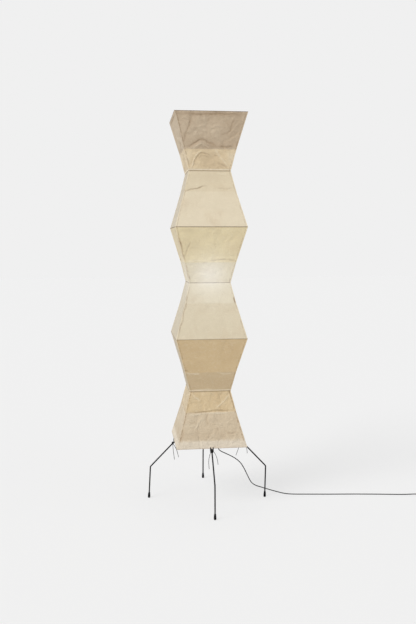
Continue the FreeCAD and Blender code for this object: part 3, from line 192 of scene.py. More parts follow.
def grain(tree, place, scale, detail=3.0, roughness=0.5, distortion=0.0):
    """A noise between about 0 and 1 at a scale in cycles per metre."""
    inputs = {
        "Vector": place,
        "Scale": scale,
        "Detail": detail,
        "Roughness": roughness,
        "Distortion": distortion,
    }
    return add_node(tree, "TexNoise", inputs).outputs[0]


def spread(tree, value, low, high, new_low=0.0, new_high=1.0, smooth=True):
    inputs = {0: value, 1: low, 2: high, 3: new_low, 4: new_high}
    kind = "SMOOTHSTEP" if smooth else "LINEAR"
    return add_node(tree, "MapRange", inputs, interpolation_type=kind).outputs[0]


def stretched(tree, place, scale):
    return add_node(tree, "Mapping", {"Vector": place, "Scale": scale}).outputs[0]


def own_place(tree):
    return tree.nodes.new("ShaderNodeTexCoord").outputs["Object"]


def raise_bump(tree, height, distance, strength=1.0, normal=None):
    inputs = {"Height": height, "Distance": distance, "Strength": strength}
    if normal is not None:
        inputs["Normal"] = normal
    return add_node(tree, "Bump", inputs).outputs[0]


def new_material(name, metallic=0.0, specular=0.5):
    material = bpy.data.materials.new(name)
    material.use_nodes = True
    tree = material.node_tree
    shader = tree.nodes["Principled BSDF"]
    shader.inputs["Metallic"].default_value = metallic
    shader.inputs["Specular IOR Level"].default_value = specular
    return material, tree, shader


def rgb(red, green, blue):
    """A colour written as its sRGB bytes, as a linear colour."""
    linear = []
    for byte in (red, green, blue):
        share = byte / 255
        linear.append(share / 12.92 if share <= 0.04045 else ((share + 0.055) / 1.055) ** 2.4)
    return (*linear, 1.0)


def worn_paint(name, colour, worn, roughness):
    """Satin paint: a fine orange peel, faint dust and worn high spots."""
    material, tree, shader = new_material(name, specular=0.18)
    place = own_place(tree)
    dust = grain(tree, place, 60, 5, 0.65)
    wear = spread(tree, grain(tree, place, 170, 4, 0.7), 0.62, 0.74)
    base = blend_colours(tree, dust, colour, tuple(min(1, part * 1.6 + 0.002) for part in colour))
    base = blend_colours(tree, calc(tree, "MULTIPLY", wear, 0.5), base, worn)
    tree.links.new(base, shader.inputs["Base Color"])
    rough = spread(tree, dust, 0.25, 0.75, roughness - 0.08, roughness + 0.14)
    tree.links.new(rough, shader.inputs["Roughness"])
    peel = raise_bump(tree, grain(tree, place, 900, 2), 0.00005, 0.6)
    tree.links.new(peel, shader.inputs["Normal"])
    return material


def drawn_metal(name, colour, roughness, lines=(1, 1, 0.02)):
    """Bare metal with fine drawing lines along it and cloudy tarnish."""
    material, tree, shader = new_material(name, metallic=1.0)
    place = own_place(tree)
    scratch = grain(tree, stretched(tree, place, lines), 3000, 2, 0.6)
    cloud = grain(tree, place, 45, 4, 0.6)
    dull = tuple(part * 0.72 for part in colour[:3]) + (1.0,)
    base = blend_colours(tree, spread(tree, cloud, 0.35, 0.75), colour, dull)
    tree.links.new(base, shader.inputs["Base Color"])
    rough = calc(tree, "ADD", spread(tree, scratch, 0.3, 0.7, roughness - 0.05, roughness + 0.1),
                 spread(tree, cloud, 0.4, 0.8, 0, 0.1))
    tree.links.new(rough, shader.inputs["Roughness"])
    tree.links.new(raise_bump(tree, scratch, 0.00003, 0.5), shader.inputs["Normal"])
    return material


def moulded(name, colour, roughness, texture_scale=1400, depth=0.00006, specular=0.35):
    """Moulded plastic, rubber or ceramic with a fine skin texture and handling marks."""
    material, tree, shader = new_material(name, specular=specular)
    place = own_place(tree)
    skin = grain(tree, place, texture_scale, 2, 0.5)
    marks = grain(tree, place, 85, 5, 0.65)
    lighter = tuple(min(1, part * 1.5 + 0.006) for part in colour[:3]) + (1.0,)
    base = blend_colours(tree, spread(tree, marks, 0.4, 0.8), colour, lighter)
    tree.links.new(base, shader.inputs["Base Color"])
    rough = spread(tree, marks, 0.3, 0.75, roughness + 0.08, roughness - 0.08)
    tree.links.new(rough, shader.inputs["Roughness"])
    tree.links.new(raise_bump(tree, skin, depth, 0.7), shader.inputs["Normal"])
    return material


def twisted(name, colour, light, pitch, roughness):
    """Twisted string or a braided sheath: strands that run round the curve's own length."""
    material, tree, shader = new_material(name, specular=0.2)
    uv = tree.nodes.new("ShaderNodeUVMap").outputs[0]
    parts = add_node(tree, "SeparateXYZ", {0: uv})
    lengthwise = calc(tree, "MULTIPLY", parts.outputs[0], pitch)
    around = calc(tree, "MULTIPLY", parts.outputs[1], 2.0)
    phase = calc(tree, "FRACT", calc(tree, "ADD", lengthwise, around))
    strand = calc(tree, "PINGPONG", phase, 0.5)
    fuzz = grain(tree, own_place(tree), 2600, 4, 0.7)
    share = calc(tree, "MULTIPLY", strand, fuzz)
    base = blend_colours(tree, spread(tree, share, 0.03, 0.32), colour, light)
    tree.links.new(base, shader.inputs["Base Color"])
    shader.inputs["Roughness"].default_value = roughness
    shader.inputs["Sheen Weight"].default_value = 0.05
    bump = raise_bump(tree, strand, 0.0004, 0.8)
    tree.links.new(raise_bump(tree, fuzz, 0.00015, 0.6, bump), shader.inputs["Normal"])
    return material


def dress(material, *names):
    """Give CAD nodes a material."""
    for name in names:
        item = NODES[name]
        if not item.material_slots:
            item.data.materials.append(material)
        for slot in item.material_slots:
            slot.material = material


def smooth(item):
    for face in item.data.polygons:
        face.use_smooth = True


# ---------------------------------------------------------------- paper shade

SHADE_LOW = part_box("paper_1")[0].z
SHADE_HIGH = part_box("paper_6")[1].z
SECTIONS = 6
SECTION = (SHADE_HIGH - SHADE_LOW) / SECTIONS
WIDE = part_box("paper_1")[1].x
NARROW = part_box("ring_2")[1].x + 0.8 * MM  # the paper's middle lies this far outside the wire
CREASE_DEPTH = 3 * MM
SLANT = math.hypot(WIDE - NARROW, SECTION)
CREASE_RISE = SECTION * (SLANT - WIDE + NARROW) / 2 / SLANT  # from the narrow ring to the fold
SAG = 1.2 * MM
BULB_CENTRE = (0, -0.045, 1.1736)
COLUMNS = 104
ROWS = 80
WELD = 0.02 * MM
SHARP = math.radians(55)  # edges that turn more than this stay sharp
# Painted light: the bulb's light through the paper, painted on as the paper's own emission.
PAINTED_GLOW_REACH = 0.095
PAINTED_GLOW_STRENGTH = 0.56
PAINTED_GLOW_COLOUR = (0.70, 0.80, 1.0, 1)
# Relief of a face. Lengths are in metres, and depths in millimetres for a crumple of 1.
HELD = 0.012  # the paper lies flat this near to a ring
FOLD_REACH = 0.040  # it is more creased this near to its fold line
FACET_DEPTHS = (0.8, 0.9)  # everywhere, and what the fold line adds
FACET_WANDER = 3
SWELL_DEPTH = 3.2
# Painted shade and highlight: how much the relief's valleys are painted darker and its high spots
# lighter.
FACET_PAINTED_SHADING = 0.07
SWELL_PAINTED_SHADING = 0.10
CRUMPLES = ((0.075, 1.0), (0.040, 0.7), (0.021, 0.42))  # pitch and share of each size
WANDER = 0.028  # how far strokes wander, as a share of each pitch
WANDER_PITCHES = (0.070, 0.038, 0.019)
STROKE_DEPTH = 1.35
# Painted shade and highlight: how much a stroke's fold is painted darker or its ridge lighter.
STROKE_PAINTED_SHADING = 0.8
STROKE_FADE = 0.22  # the share of its length over which a stroke fades, at each end
STROKE_END = 0.12  # how strongly it still shows at its very ends
SHOULDER = 0.4  # how high the paper is pushed up beside a stroke
SHOULDER_WIDTH = 2.4
PAPER_AGED = rgb(190, 160, 122)
# Painted light: the left and right faces are painted towards this paler grey, by these shares per
# section, as if more lit than the front and back.
PAPER_SIDE_LIT = rgb(196, 187, 170)
SIDE_LIGHT_SHARES = {1: 0.42, 2: 0.8, 3: 0.7, 4: 0.4, 5: 0.8, 6: 0.35}
PAPER_PALE = rgb(246, 236, 214)
PAPER_DARK = rgb(140, 108, 76)
RING_BROWN = rgb(112, 88, 66)
HEM = rgb(226, 216, 200)
HEM_EDGE = rgb(150, 128, 110)
# How dark the paper's line along each ring is, from the floor up.
RING_LINES = {1: 0.25, 2: 0.5, 3: 0.45, 4: 0.5, 5: 0.75, 6: 0.6, 7: 0.95}
# How pale the paper is just above each narrow ring, by the section above it.
RING_PALE = {2: 0.55, 4: 0.2, 6: 0.8}
# How strong the brown line beside each corner is, from the floor up.
CORNER_LINES = {1: 0.7, 2: 0.4, 3: 0.25, 4: 0.35, 5: 0.25, 6: 0.5}

# The paper's colour below and above each section's fold line, from the floor up, and how
# crumpled it is.
SECTION_LOOKS = {
    1: {"low": (207, 190, 164), "high": (212, 190, 153), "crumple": 1.0},
    2: {"low": (208, 186, 151), "high": (217, 192, 151), "crumple": 0.35},
    3: {"low": (218, 206, 180), "high": (225, 215, 191), "crumple": 0.3},
    4: {"low": (233, 221, 192), "high": (238, 222, 182), "crumple": 0.55},
    5: {"low": (226, 213, 187), "high": (222, 208, 180), "crumple": 0.3},
    6: {"low": (232, 211, 176), "high": (206, 186, 160), "crumple": 1.15},
}
# Folds and wrinkles of a face, each (points, depth, width, tone). The points are across and up
# the section in metres. Depth and width are in millimetres, and a ridge has a depth below 0.
# Tone is how much lighter (up to 1) or darker (down to -1) than the paper the line is painted:
# painted shade in a fold's valley and painted highlight on a ridge.
STROKES = {
    6: [
        ([(-0.088, 0.250), (-0.098, 0.222), (-0.112, 0.185), (-0.125, 0.148), (-0.130, 0.108)],
         2.2, 4.5, -0.35),
        ([(0.112, 0.238), (0.104, 0.222), (0.096, 0.182), (0.068, 0.173), (0.036, 0.158)],
         1.8, 4.0, -0.30),
        ([(0.151, 0.241), (0.119, 0.200), (0.101, 0.173)], -1.8, 5.0, 0.15),
        ([(0.140, 0.190), (0.118, 0.165), (0.090, 0.150), (0.060, 0.132)], 1.4, 4.5, -0.12),
        ([(-0.126, 0.104), (-0.100, 0.113), (-0.079, 0.126), (-0.053, 0.142), (-0.030, 0.140),
          (-0.010, 0.133), (0.010, 0.122), (0.030, 0.110)], 2.6, 4.0, -0.50),
        ([(-0.098, 0.103), (-0.065, 0.114), (-0.041, 0.122), (-0.017, 0.114), (0.008, 0.104)],
         -3.0, 4.5, 0.35),
        ([(0.030, 0.107), (0.055, 0.115), (0.080, 0.106), (0.100, 0.112), (0.118, 0.106)],
         1.8, 3.6, -0.35),
        ([(-0.165, 0.257), (-0.060, 0.254), (0.060, 0.258), (0.165, 0.256)], 1.0, 3.0, -0.25),
        ([(0.070, 0.239), (0.086, 0.204), (0.096, 0.187)], 1.4, 4.0, -0.20),
        ([(-0.071, 0.193), (-0.029, 0.207), (0.009, 0.199), (0.040, 0.205)], -1.5, 6.0, 0.08),
        ([(-0.140, 0.240), (-0.120, 0.225), (-0.095, 0.228)], 1.2, 4.0, -0.10),
        ([(-0.098, 0.004), (-0.077, 0.049), (-0.061, 0.078), (-0.036, 0.094)], -2.4, 3.2, 0.60),
        ([(-0.089, 0.008), (-0.066, 0.058), (-0.055, 0.077), (-0.030, 0.083), (-0.010, 0.079),
          (0.006, 0.068)], 2.2, 3.2, -0.45),
        ([(0.099, 0.005), (0.075, 0.036), (0.050, 0.068), (0.030, 0.090), (0.012, 0.098)],
         -2.4, 3.6, 0.60),
        ([(0.090, 0.008), (0.060, 0.028), (0.032, 0.040)], 1.6, 4.0, -0.30),
        ([(-0.060, 0.058), (-0.030, 0.068), (-0.006, 0.062)], 1.2, 4.0, -0.15),
    ],
    5: [
        ([(-0.131, 0.169), (-0.094, 0.178), (-0.055, 0.188), (-0.018, 0.198)], 2.0, 2.8, -0.75),
        ([(0.027, 0.185), (0.071, 0.184), (0.115, 0.187)], 1.0, 2.8, -0.28),
        ([(0.030, 0.258), (0.059, 0.255), (0.084, 0.260)], -0.8, 2.8, 0.35),
        ([(-0.114, 0.263), (-0.120, 0.220), (-0.125, 0.176)], 1.0, 3.5, -0.25),
        ([(-0.100, 0.110), (-0.060, 0.070), (-0.030, 0.060)], -0.8, 7.0, 0.05),
    ],
    4: [
        ([(-0.163, 0.246), (-0.149, 0.198), (-0.137, 0.151), (-0.127, 0.107)], 1.8, 3.0, -0.80),
        ([(-0.098, 0.208), (-0.116, 0.160), (-0.127, 0.122)], 1.6, 4.5, -0.35),
        ([(-0.125, 0.104), (-0.076, 0.106), (-0.033, 0.103)], -1.4, 3.0, 0.50),
        ([(-0.018, 0.104), (0.021, 0.110), (0.055, 0.115), (0.094, 0.111), (0.134, 0.106)],
         1.8, 3.4, -0.55),
        ([(-0.042, 0.097), (-0.013, 0.097)], 0.8, 3.0, -0.30),
        ([(-0.016, 0.198), (0.014, 0.184), (0.033, 0.193)], 1.1, 4.5, -0.15),
        ([(-0.120, 0.092), (-0.109, 0.045), (-0.101, 0.006)], 0.8, 3.0, -0.30),
        ([(0.120, 0.236), (0.085, 0.215), (0.070, 0.190)], -0.9, 5.0, 0.06),
    ],
    3: [
        ([(0.113, 0.206), (0.118, 0.186), (0.124, 0.166)], 1.6, 3.2, -1.00),
        ([(-0.104, 0.236), (-0.121, 0.165), (-0.147, 0.070), (-0.163, 0.009)], 0.9, 2.8, -0.45),
        ([(-0.080, 0.172), (-0.020, 0.168), (0.060, 0.173)], 0.7, 4.0, -0.06),
        ([(0.123, 0.142), (0.136, 0.120)], -0.8, 4.0, 0.45),
    ],
    2: [
        ([(-0.129, 0.101), (-0.103, 0.094), (-0.074, 0.094), (-0.049, 0.093)], -1.6, 2.8, 0.65),
        ([(0.030, 0.094), (0.070, 0.093), (0.112, 0.089)], -1.3, 2.8, 0.45),
        ([(-0.131, 0.111), (-0.112, 0.107)], 1.2, 3.0, -0.50),
        ([(-0.094, 0.010), (-0.042, 0.011), (0.018, 0.008)], -0.8, 2.8, 0.55),
        ([(-0.085, 0.052), (-0.050, 0.062)], 0.9, 4.0, -0.12),
    ],
    1: [
        ([(-0.096, 0.262), (-0.072, 0.240), (-0.048, 0.221)], -1.8, 3.2, 0.50),
        ([(0.103, 0.260), (0.077, 0.234), (0.051, 0.208), (0.025, 0.184)], -1.9, 3.6, 0.55),
        ([(-0.120, 0.166), (-0.070, 0.171), (-0.025, 0.174), (0.020, 0.175), (0.075, 0.176),
          (0.130, 0.180)], 2.2, 3.0, -0.60),
        ([(-0.121, 0.158), (-0.070, 0.162), (-0.015, 0.166), (0.020, 0.166), (0.075, 0.167),
          (0.127, 0.171)], -2.0, 3.4, 0.50),
        ([(-0.041, 0.145), (-0.061, 0.117), (-0.082, 0.085)], -1.8, 4.0, 0.22),
        ([(-0.015, 0.168), (-0.026, 0.135), (-0.012, 0.106)], 1.5, 4.0, -0.25),
        ([(-0.126, 0.091), (-0.142, 0.062), (-0.153, 0.040)], 1.5, 4.0, -0.30),
        ([(-0.015, 0.040), (0.001, 0.058), (0.021, 0.072)], -1.5, 4.0, 0.20),
        ([(0.062, 0.085), (0.096, 0.065), (0.126, 0.074)], 1.5, 4.5, -0.22),
        ([(-0.125, 0.138), (-0.096, 0.118), (-0.076, 0.127)], 1.4, 4.0, -0.22),
        ([(0.086, 0.140), (0.110, 0.118), (0.132, 0.122)], -1.3, 4.5, 0.12),
        ([(0.020, 0.128), (0.050, 0.104), (0.058, 0.086)], -1.3, 5.0, 0.10),
        ([(-0.162, 0.039), (-0.060, 0.037), (0.060, 0.035), (0.162, 0.033)], 0.9, 2.8, -0.12),
    ],
}
# Soft patches of a face, each (across, up, half width, half height, tone) in metres.
SMUDGES = {
    6: [(0.0, 0.036, 0.066, 0.040, -0.14), (0.085, 0.118, 0.050, 0.014, -0.22),
        (0.0, 0.256, 0.190, 0.010, -0.36), (0.100, 0.215, 0.045, 0.035, -0.12),
        (-0.108, 0.062, 0.022, 0.036, 0.16), (0.108, 0.066, 0.022, 0.034, 0.40),
        (-0.005, 0.112, 0.060, 0.010, -0.18)],
    5: [(0.0, 0.246, 0.110, 0.026, -0.10)],
    4: [(-0.120, 0.252, 0.045, 0.012, -0.16), (-0.090, 0.190, 0.050, 0.040, -0.10),
        (0.020, 0.245, 0.060, 0.030, -0.08)],
    3: [(0.0, 0.030, 0.150, 0.030, -0.04)],
    2: [(0.0, 0.040, 0.110, 0.040, -0.06)],
    1: [(0.009, 0.006, 0.009, 0.007, -0.80), (-0.080, 0.030, 0.050, 0.012, 0.10),
        (-0.035, 0.062, 0.095, 0.026, -0.16)],
}


def widens(section):
    return section % 2 == 0


def ring_reaches(section):
    """Half the sleeve's width at its lower ring and at its upper ring."""
    return (NARROW, WIDE) if widens(section) else (WIDE, NARROW)


def half_width(section, height):
    """Half the sleeve's width at a height above its lower ring, and the fold's own height."""
    low, high = ring_reaches(section)
    fold = CREASE_RISE if widens(section) else SECTION - CREASE_RISE
    tent = np.minimum(height / fold, (SECTION - height) / (SECTION - fold))
    return low + (high - low) * height / SECTION - CREASE_DEPTH * tent, fold


def stroke_weight(across, height, points, width):
    """How strongly a stroke shows at each point: 1 on its line, fading beside it and at its
    ends."""
    weight = np.zeros_like(across)
    count = len(points) - 1
    for index, ((x0, y0), (x1, y1)) in enumerate(zip(points, points[1:])):
        dx, dy = x1 - x0, y1 - y0
        share = ((across - x0) * dx + (height - y0) * dy) / (dx * dx + dy * dy)
        share = np.clip(share, 0, 1)
        gap = np.hypot(across - x0 - share * dx, height - y0 - share * dy)
        travelled = (index + share) / count
        fade = np.clip(np.minimum(travelled, 1 - travelled) / STROKE_FADE, STROKE_END, 1)
        weight = np.maximum(weight, fade * np.exp(-((gap / (width * MM)) ** 2)))
    return weight


def wandered(across, height, seed):
    """The same places moved a little, so that straight strokes turn into hand-made folds."""
    dice = np.random.default_rng(seed)
    moved = []
    for place in (across, height):
        shift = np.zeros_like(across)
        for pitch in WANDER_PITCHES:
            angle, phase = dice.uniform(0, math.pi), dice.uniform(0, 6)
            along_wave = across * math.cos(angle) + height * math.sin(angle)
            shift += pitch * WANDER * np.sin(2 * math.pi * along_wave / pitch + phase)
        moved.append(place + shift)
    return moved


def face_strokes(section, face):
    """A face's strokes and patches. The front has its own section's, the right face those of
    two sections further up, the back those of four further up, and the left face its own
    again. They are mirrored on the right and left faces."""
    source = (section - 1 + 2 * face) % SECTIONS + 1
    mirror = -1 if face % 2 else 1
    strokes = [
        ([(mirror * x, y) for x, y in points], depth, width, tone)
        for points, depth, width, tone in STROKES[source]
    ]
    smudges = [(mirror * x, *rest) for x, *rest in SMUDGES[source]]
    return strokes, smudges


def folded_facets(across, height, seed):
    """Crumpled paper: folds in many directions laid over each other, from about -1 to 1. Each
    is finer and fainter than the last."""
    dice = np.random.default_rng(seed)
    total = np.zeros_like(across)
    for fold in range(9):
        angle = dice.uniform(0, math.pi)
        pitch = 0.16 * 0.78**fold
        bend = 0.15 * np.sin(across * 17 + dice.uniform(0, 6)) * np.cos(height * 13)
        phase = (across * math.cos(angle) + height * math.sin(angle)) / pitch
        wave = np.abs((phase + bend + dice.uniform(0, 1)) % 1 - 0.5) * 4 - 1
        total += wave * 0.72**fold
    return total / 3.2


def rolling(across, height, pitch, seed):
    """A smooth random surface between -1 and 1 whose hills are about a pitch apart. Its lattice
    spans 0.6 m, which covers a face with a margin on each side."""
    dice = np.random.default_rng(seed)
    cells = int(0.6 / pitch) + 3
    lattice = dice.uniform(-1, 1, (cells, cells))
    x, y = (across + 0.28) / pitch, (height + 0.05) / pitch
    column, row = np.floor(x).astype(int), np.floor(y).astype(int)
    u, v = x - column, y - row
    u, v = u * u * (3 - 2 * u), v * v * (3 - 2 * v)
    low = lattice[row, column] * (1 - u) + lattice[row, column + 1] * u
    high = lattice[row + 1, column] * (1 - u) + lattice[row + 1, column + 1] * u
    return low * (1 - v) + high * v


def crumpled(across, height, seed):
    """Sharp valleys between soft swells, in three sizes, as in paper that was crumpled."""
    total = np.zeros_like(across)
    for step, (pitch, share) in enumerate(CRUMPLES):
        total += share * (np.abs(rolling(across, height, pitch, 100 * seed + step)) - 0.4)
    return total


def face_relief(section, face, across, height, half, fold):
    """How far each point of a face stands out from the flat folded sheet, and its painted shade
    and highlight, with the soft patches laid over them.
    """
    crumple = SECTION_LOOKS[section]["crumple"]
    seed = 10 * section + face
    inside = 1 - (np.abs(across) / half) ** 8
    held = np.clip(np.minimum(height, SECTION - height) / HELD, 0, 1)
    near_fold = np.exp(-(((height - fold) / FOLD_REACH) ** 2))
    x_moved, y_moved = wandered(across, height, seed)
    facets = folded_facets(across + FACET_WANDER * (x_moved - across), y_moved, seed)
    swells = crumpled(x_moved, y_moved, seed)
    facet_depth = FACET_DEPTHS[0] + FACET_DEPTHS[1] * near_fold
    offset = crumple * MM * (facet_depth * facets + SWELL_DEPTH * swells)
    # Painted shade and highlight: the relief's valleys darker and its high spots lighter.
    tone = crumple * (FACET_PAINTED_SHADING * facets + SWELL_PAINTED_SHADING * swells)
    strokes, smudges = face_strokes(section, face)
    for points, depth, width, shade in strokes:
        weight = stroke_weight(x_moved, y_moved, points, width)
        shoulder = stroke_weight(x_moved, y_moved, points, width * SHOULDER_WIDTH)
        offset -= STROKE_DEPTH * depth * MM * (weight - SHOULDER * shoulder)
        tone += STROKE_PAINTED_SHADING * shade * weight
    for x, y, wide, high, shade in smudges:
        away = ((across - x) / wide) ** 2 + ((height - y) / high) ** 2
        tone += shade * np.exp(-away)
    offset = offset * inside - SAG * np.sin(np.pi * height / SECTION) * (
        1 - (across / half) ** 2
    )
    return offset * held, np.clip(tone, -1, 1)


def make_sleeve(section):
    """One folded paper sleeve between two rings: four creased faces, open at both ends."""
    base = SHADE_LOW + (section - 1) * SECTION
    cross, up = np.meshgrid(
        np.linspace(-1, 1, COLUMNS + 1), np.linspace(0, SECTION, ROWS + 1)
    )
    half, fold = half_width(section, up)
    across = cross * half
    verts, faces, sheet, face_shading_and_patches = [], [], [], []
    for face in range(4):
        offset, tone = face_relief(section, face, across, up, half, fold)
        stand = half + offset
        angle = math.radians(90 * face - 90)
        out = (math.cos(angle), math.sin(angle))
        x = out[0] * stand - out[1] * across
        y = out[1] * stand + out[0] * across
        first = len(verts)
        verts += list(zip(x.ravel(), y.ravel(), (up + base).ravel()))
        width = COLUMNS + 1
        for row in range(ROWS):
            for column in range(COLUMNS):
                corner = first + row * width + column
                faces.append((corner, corner + 1, corner + 1 + width, corner + width))
        sheet += list(zip(across.ravel() + face, up.ravel()))
        face_shading_and_patches += list(tone.ravel())
    mesh = bpy.data.meshes.new(f"paper_sleeve_{section}")
    mesh.from_pydata(verts, [], faces)
    layer = mesh.uv_layers.new(name="sheet")
    corners = np.empty(len(mesh.loops), np.int32)
    mesh.loops.foreach_get("vertex_index", corners)
    layer.data.foreach_set("uv", np.array(sheet, np.float32)[corners].ravel())
    rest = mesh.attributes.new("rest", "FLOAT_VECTOR", "POINT")
    rest.data.foreach_set("vector", np.array(verts, np.float32).ravel())
    # The painted shade and highlight, with the soft patches, go to the material as a point
    # attribute.
    mark = mesh.attributes.new("tone", "FLOAT", "POINT")
    mark.data.foreach_set("value", np.array(face_shading_and_patches, np.float32))
    sleeve = add_object(f"paper_sleeve_{section}", mesh)
    smooth(sleeve)
    weld_corners(mesh)
    mesh.materials.append(paper_material(section, fold))
    return sleeve


def weld_corners(mesh):
    """Join the four faces along the sleeve's corners, and keep those edges sharp."""
    work = bmesh.new()
    work.from_mesh(mesh)
    bmesh.ops.remove_doubles(work, verts=work.verts, dist=WELD)
    for edge in work.edges:
        if len(edge.link_faces) == 2 and edge.calc_face_angle(0) > SHARP:
            edge.smooth = False
    work.to_mesh(mesh)
    work.free()


def paper_material(section, fold):
    """Aged lantern paper: fibres, mottling, lines at rings and folds with painted shade and
    highlight along the folds, and the bulb's glow painted on as the paper's own emission.
    """
    looks = SECTION_LOOKS[section]
    material, tree, shader = new_material(f"lantern_paper_{section}", specular=0.15)
    uv = add_node(tree, "UVMap", {}, uv_map="sheet").outputs[0]
    parts = add_node(tree, "SeparateXYZ", {0: uv})
    height = parts.outputs[1]
    rest = add_node(tree, "Attribute", {}, attribute_name="rest").outputs["Vector"]
    tone = add_node(tree, "Attribute", {}, attribute_name="tone").outputs["Fac"]
    cloud = grain(tree, rest, 9, 4, 0.6)
    mottle = grain(tree, rest, 55, 5, 0.7)
    fibre = grain(tree, stretched(tree, uv, (1, 0.25, 1)), 700, 3, 0.6, 0.6)
    strand = grain(tree, stretched(tree, uv, (0.3, 1, 1)), 260, 2, 0.4, 1.5)
    above = spread(tree, height, fold - 0.004, fold + 0.004)
    base = blend_colours(tree, above, rgb(*looks["low"]), rgb(*looks["high"]))
    base = blend_colours(tree, spread(tree, cloud, 0.45, 0.85, 0, 0.24), base, PAPER_AGED)
    base = blend_colours(tree, spread(tree, mottle, 0.45, 0.85, 0, 0.2), base, PAPER_PALE)
    base = blend_colours(tree, spread(tree, strand, 0.60, 0.70, 0, 0.22), base, PAPER_PALE)
    base = blend_colours(tree, spread(tree, fibre, 0.5, 0.8, 0, 0.12), base, PAPER_AGED)
    # Painted light: the side faces are painted paler, as if more lit.
    base = blend_colours(tree, painted_side_light(tree, parts.outputs[0], SIDE_LIGHT_SHARES[section]), base,
                         PAPER_SIDE_LIT)
    base = ring_lines(tree, base, parts, section, mottle)
    # Painted shade and highlight: fold valleys painted towards the dark paper and ridges towards
    # the pale paper, with the soft patches.
    uneven_shading_and_patches = calc(tree, "MULTIPLY", tone, spread(tree, mottle, 0.3, 0.7, 0.75, 1.2))
    base = blend_colours(tree, spread(tree, uneven_shading_and_patches, 0, -1, 0, 0.85, False), base, PAPER_DARK)
    base = blend_colours(tree, spread(tree, uneven_shading_and_patches, 0, 1, 0, 0.85, False), base, PAPER_PALE)
    if section == 1:
        hem_top = calc(tree, "ADD", height, spread(tree, mottle, 0.3, 0.7, -0.004, 0.004))
        base = blend_colours(tree, spread(tree, hem_top, 0.029, 0.045, 0.62, 0), base, HEM)
        base = blend_colours(tree, spread(tree, height, 0.001, 0.004, 0.45, 0), base, HEM_EDGE)
    tree.links.new(base, shader.inputs["Base Color"])
    shader.inputs["Roughness"].default_value = 0.88
    crumple = looks["crumple"]
    wide_fold = crease(tree, grain(tree, rest, 9, 3, 0.5, 0.3))
    fine_fold = crease(tree, grain(tree, rest, 26, 4, 0.55, 0.4))
    wrinkle = grain(tree, rest, 42, 6, 0.62, 0.8)
    bump = raise_bump(tree, wide_fold, 0.020 * crumple, 0.6)
    bump = raise_bump(tree, fine_fold, 0.012 * crumple, 0.6, bump)
    bump = raise_bump(tree, wrinkle, 0.0040 * crumple, 0.6, bump)
    bump = raise_bump(tree, fibre, 0.00015, 0.5, bump)
    tree.links.new(bump, shader.inputs["Normal"])
    # Painted light: the paper itself glows around the bulb.
    tree.links.new(painted_bulb_glow(tree, rest), shader.inputs["Emission Strength"])
    shader.inputs["Emission Color"].default_value = PAINTED_GLOW_COLOUR
    return material


def crease(tree, value):
    """A sharp fold wherever a noise crosses its middle, with slopes on both sides."""
    return calc(tree, "ABSOLUTE", calc(tree, "SUBTRACT", value, 0.5))


def painted_side_light(tree, around, share):
    """Painted light: how much paler the left and right faces are painted, as if more lit than the
    front and back; they are sheets 1 and 3.
    """
    sheet = calc(tree, "FLOOR", calc(tree, "ADD", around, 0.5))
    return calc(tree, "MULTIPLY", calc(tree, "MODULO", sheet, 2.0), share)


def ring_lines(tree, base, parts, section, mottle):
    """The shadowed line where the paper goes round a ring, and the worn line at each corner."""
    height = parts.outputs[1]
    below = spread(tree, height, 0.0006, 0.0034, RING_LINES[section], 0)
    above = spread(
        tree, height, SECTION - 0.0034, SECTION - 0.0006, 0, RING_LINES[section + 1]
    )
    line = calc(tree, "MAXIMUM", below, above)
    if widens(section):
        rise = spread(tree, height, 0.0025, 0.0045)
        fall = spread(tree, height, 0.007, 0.010, RING_PALE[section], 0)
        base = blend_colours(tree, calc(tree, "MULTIPLY", rise, fall), base, PAPER_PALE)
    base = blend_colours(tree, line, base, RING_BROWN)
    on_sheet = calc(tree, "FRACT", calc(tree, "ADD", parts.outputs[0], 0.5))
    position = calc(tree, "ABSOLUTE", calc(tree, "SUBTRACT", on_sheet, 0.5))
    edge = spread(tree, height, 0, SECTION, *ring_reaches(section), False)
    gap = calc(tree, "SUBTRACT", edge, position)
    worn = calc(tree, "MULTIPLY", spread(tree, gap, 0.001, 0.006, 0.6, 0),
                spread(tree, mottle, 0.35, 0.65, 0.2, 0.8))
    base = blend_colours(tree, worn, base, PAPER_PALE)
    beside = calc(tree, "MULTIPLY", spread(tree, gap, 0.004, 0.007),
                  spread(tree, gap, 0.008, 0.013, CORNER_LINES[section], 0))
    patchy = calc(tree, "MULTIPLY", beside, spread(tree, mottle, 0.42, 0.58))
    return blend_colours(tree, patchy, base, PAPER_DARK)


def painted_bulb_glow(tree, place):
    """Painted light: the lit bulb behind the paper, painted as the paper's own emission, which
    falls off with distance from the bulb.
    """
    gap = add_node(tree, "VectorMath", {0: place, 1: BULB_CENTRE}, operation="DISTANCE")
    ratio = calc(tree, "DIVIDE", gap.outputs["Value"], PAINTED_GLOW_REACH)
    square = calc(tree, "ADD", calc(tree, "MULTIPLY", ratio, ratio), 1.0)
    return calc(tree, "DIVIDE", PAINTED_GLOW_STRENGTH, calc(tree, "MULTIPLY", square, square))


def make_shade():
    for section in range(1, SECTIONS + 1):
        sleeve = make_sleeve(section)
        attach(sleeve, "stand" if section == 1 else f"ring_body_{section}")
        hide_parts(f"paper_{section}")
        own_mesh(sleeve)


# ---------------------------------------------------------------- cords and strings

LEG_TURNS = {"front": 269.5, "right": -5, "back": 88.5, "left": 173}
STRING = 2.4 * MM
RING_WIRE_HALF = 1.5 * MM
ARM_RISE = 12 * MM  # from the hub's underside to the middle of the arms
KNOT_REACH = 7.21 * MM
KNOT_HEIGHT = 302.9 * MM
KNOT_STRAND = 3.0 * MM
KNOT_STEPS = 90
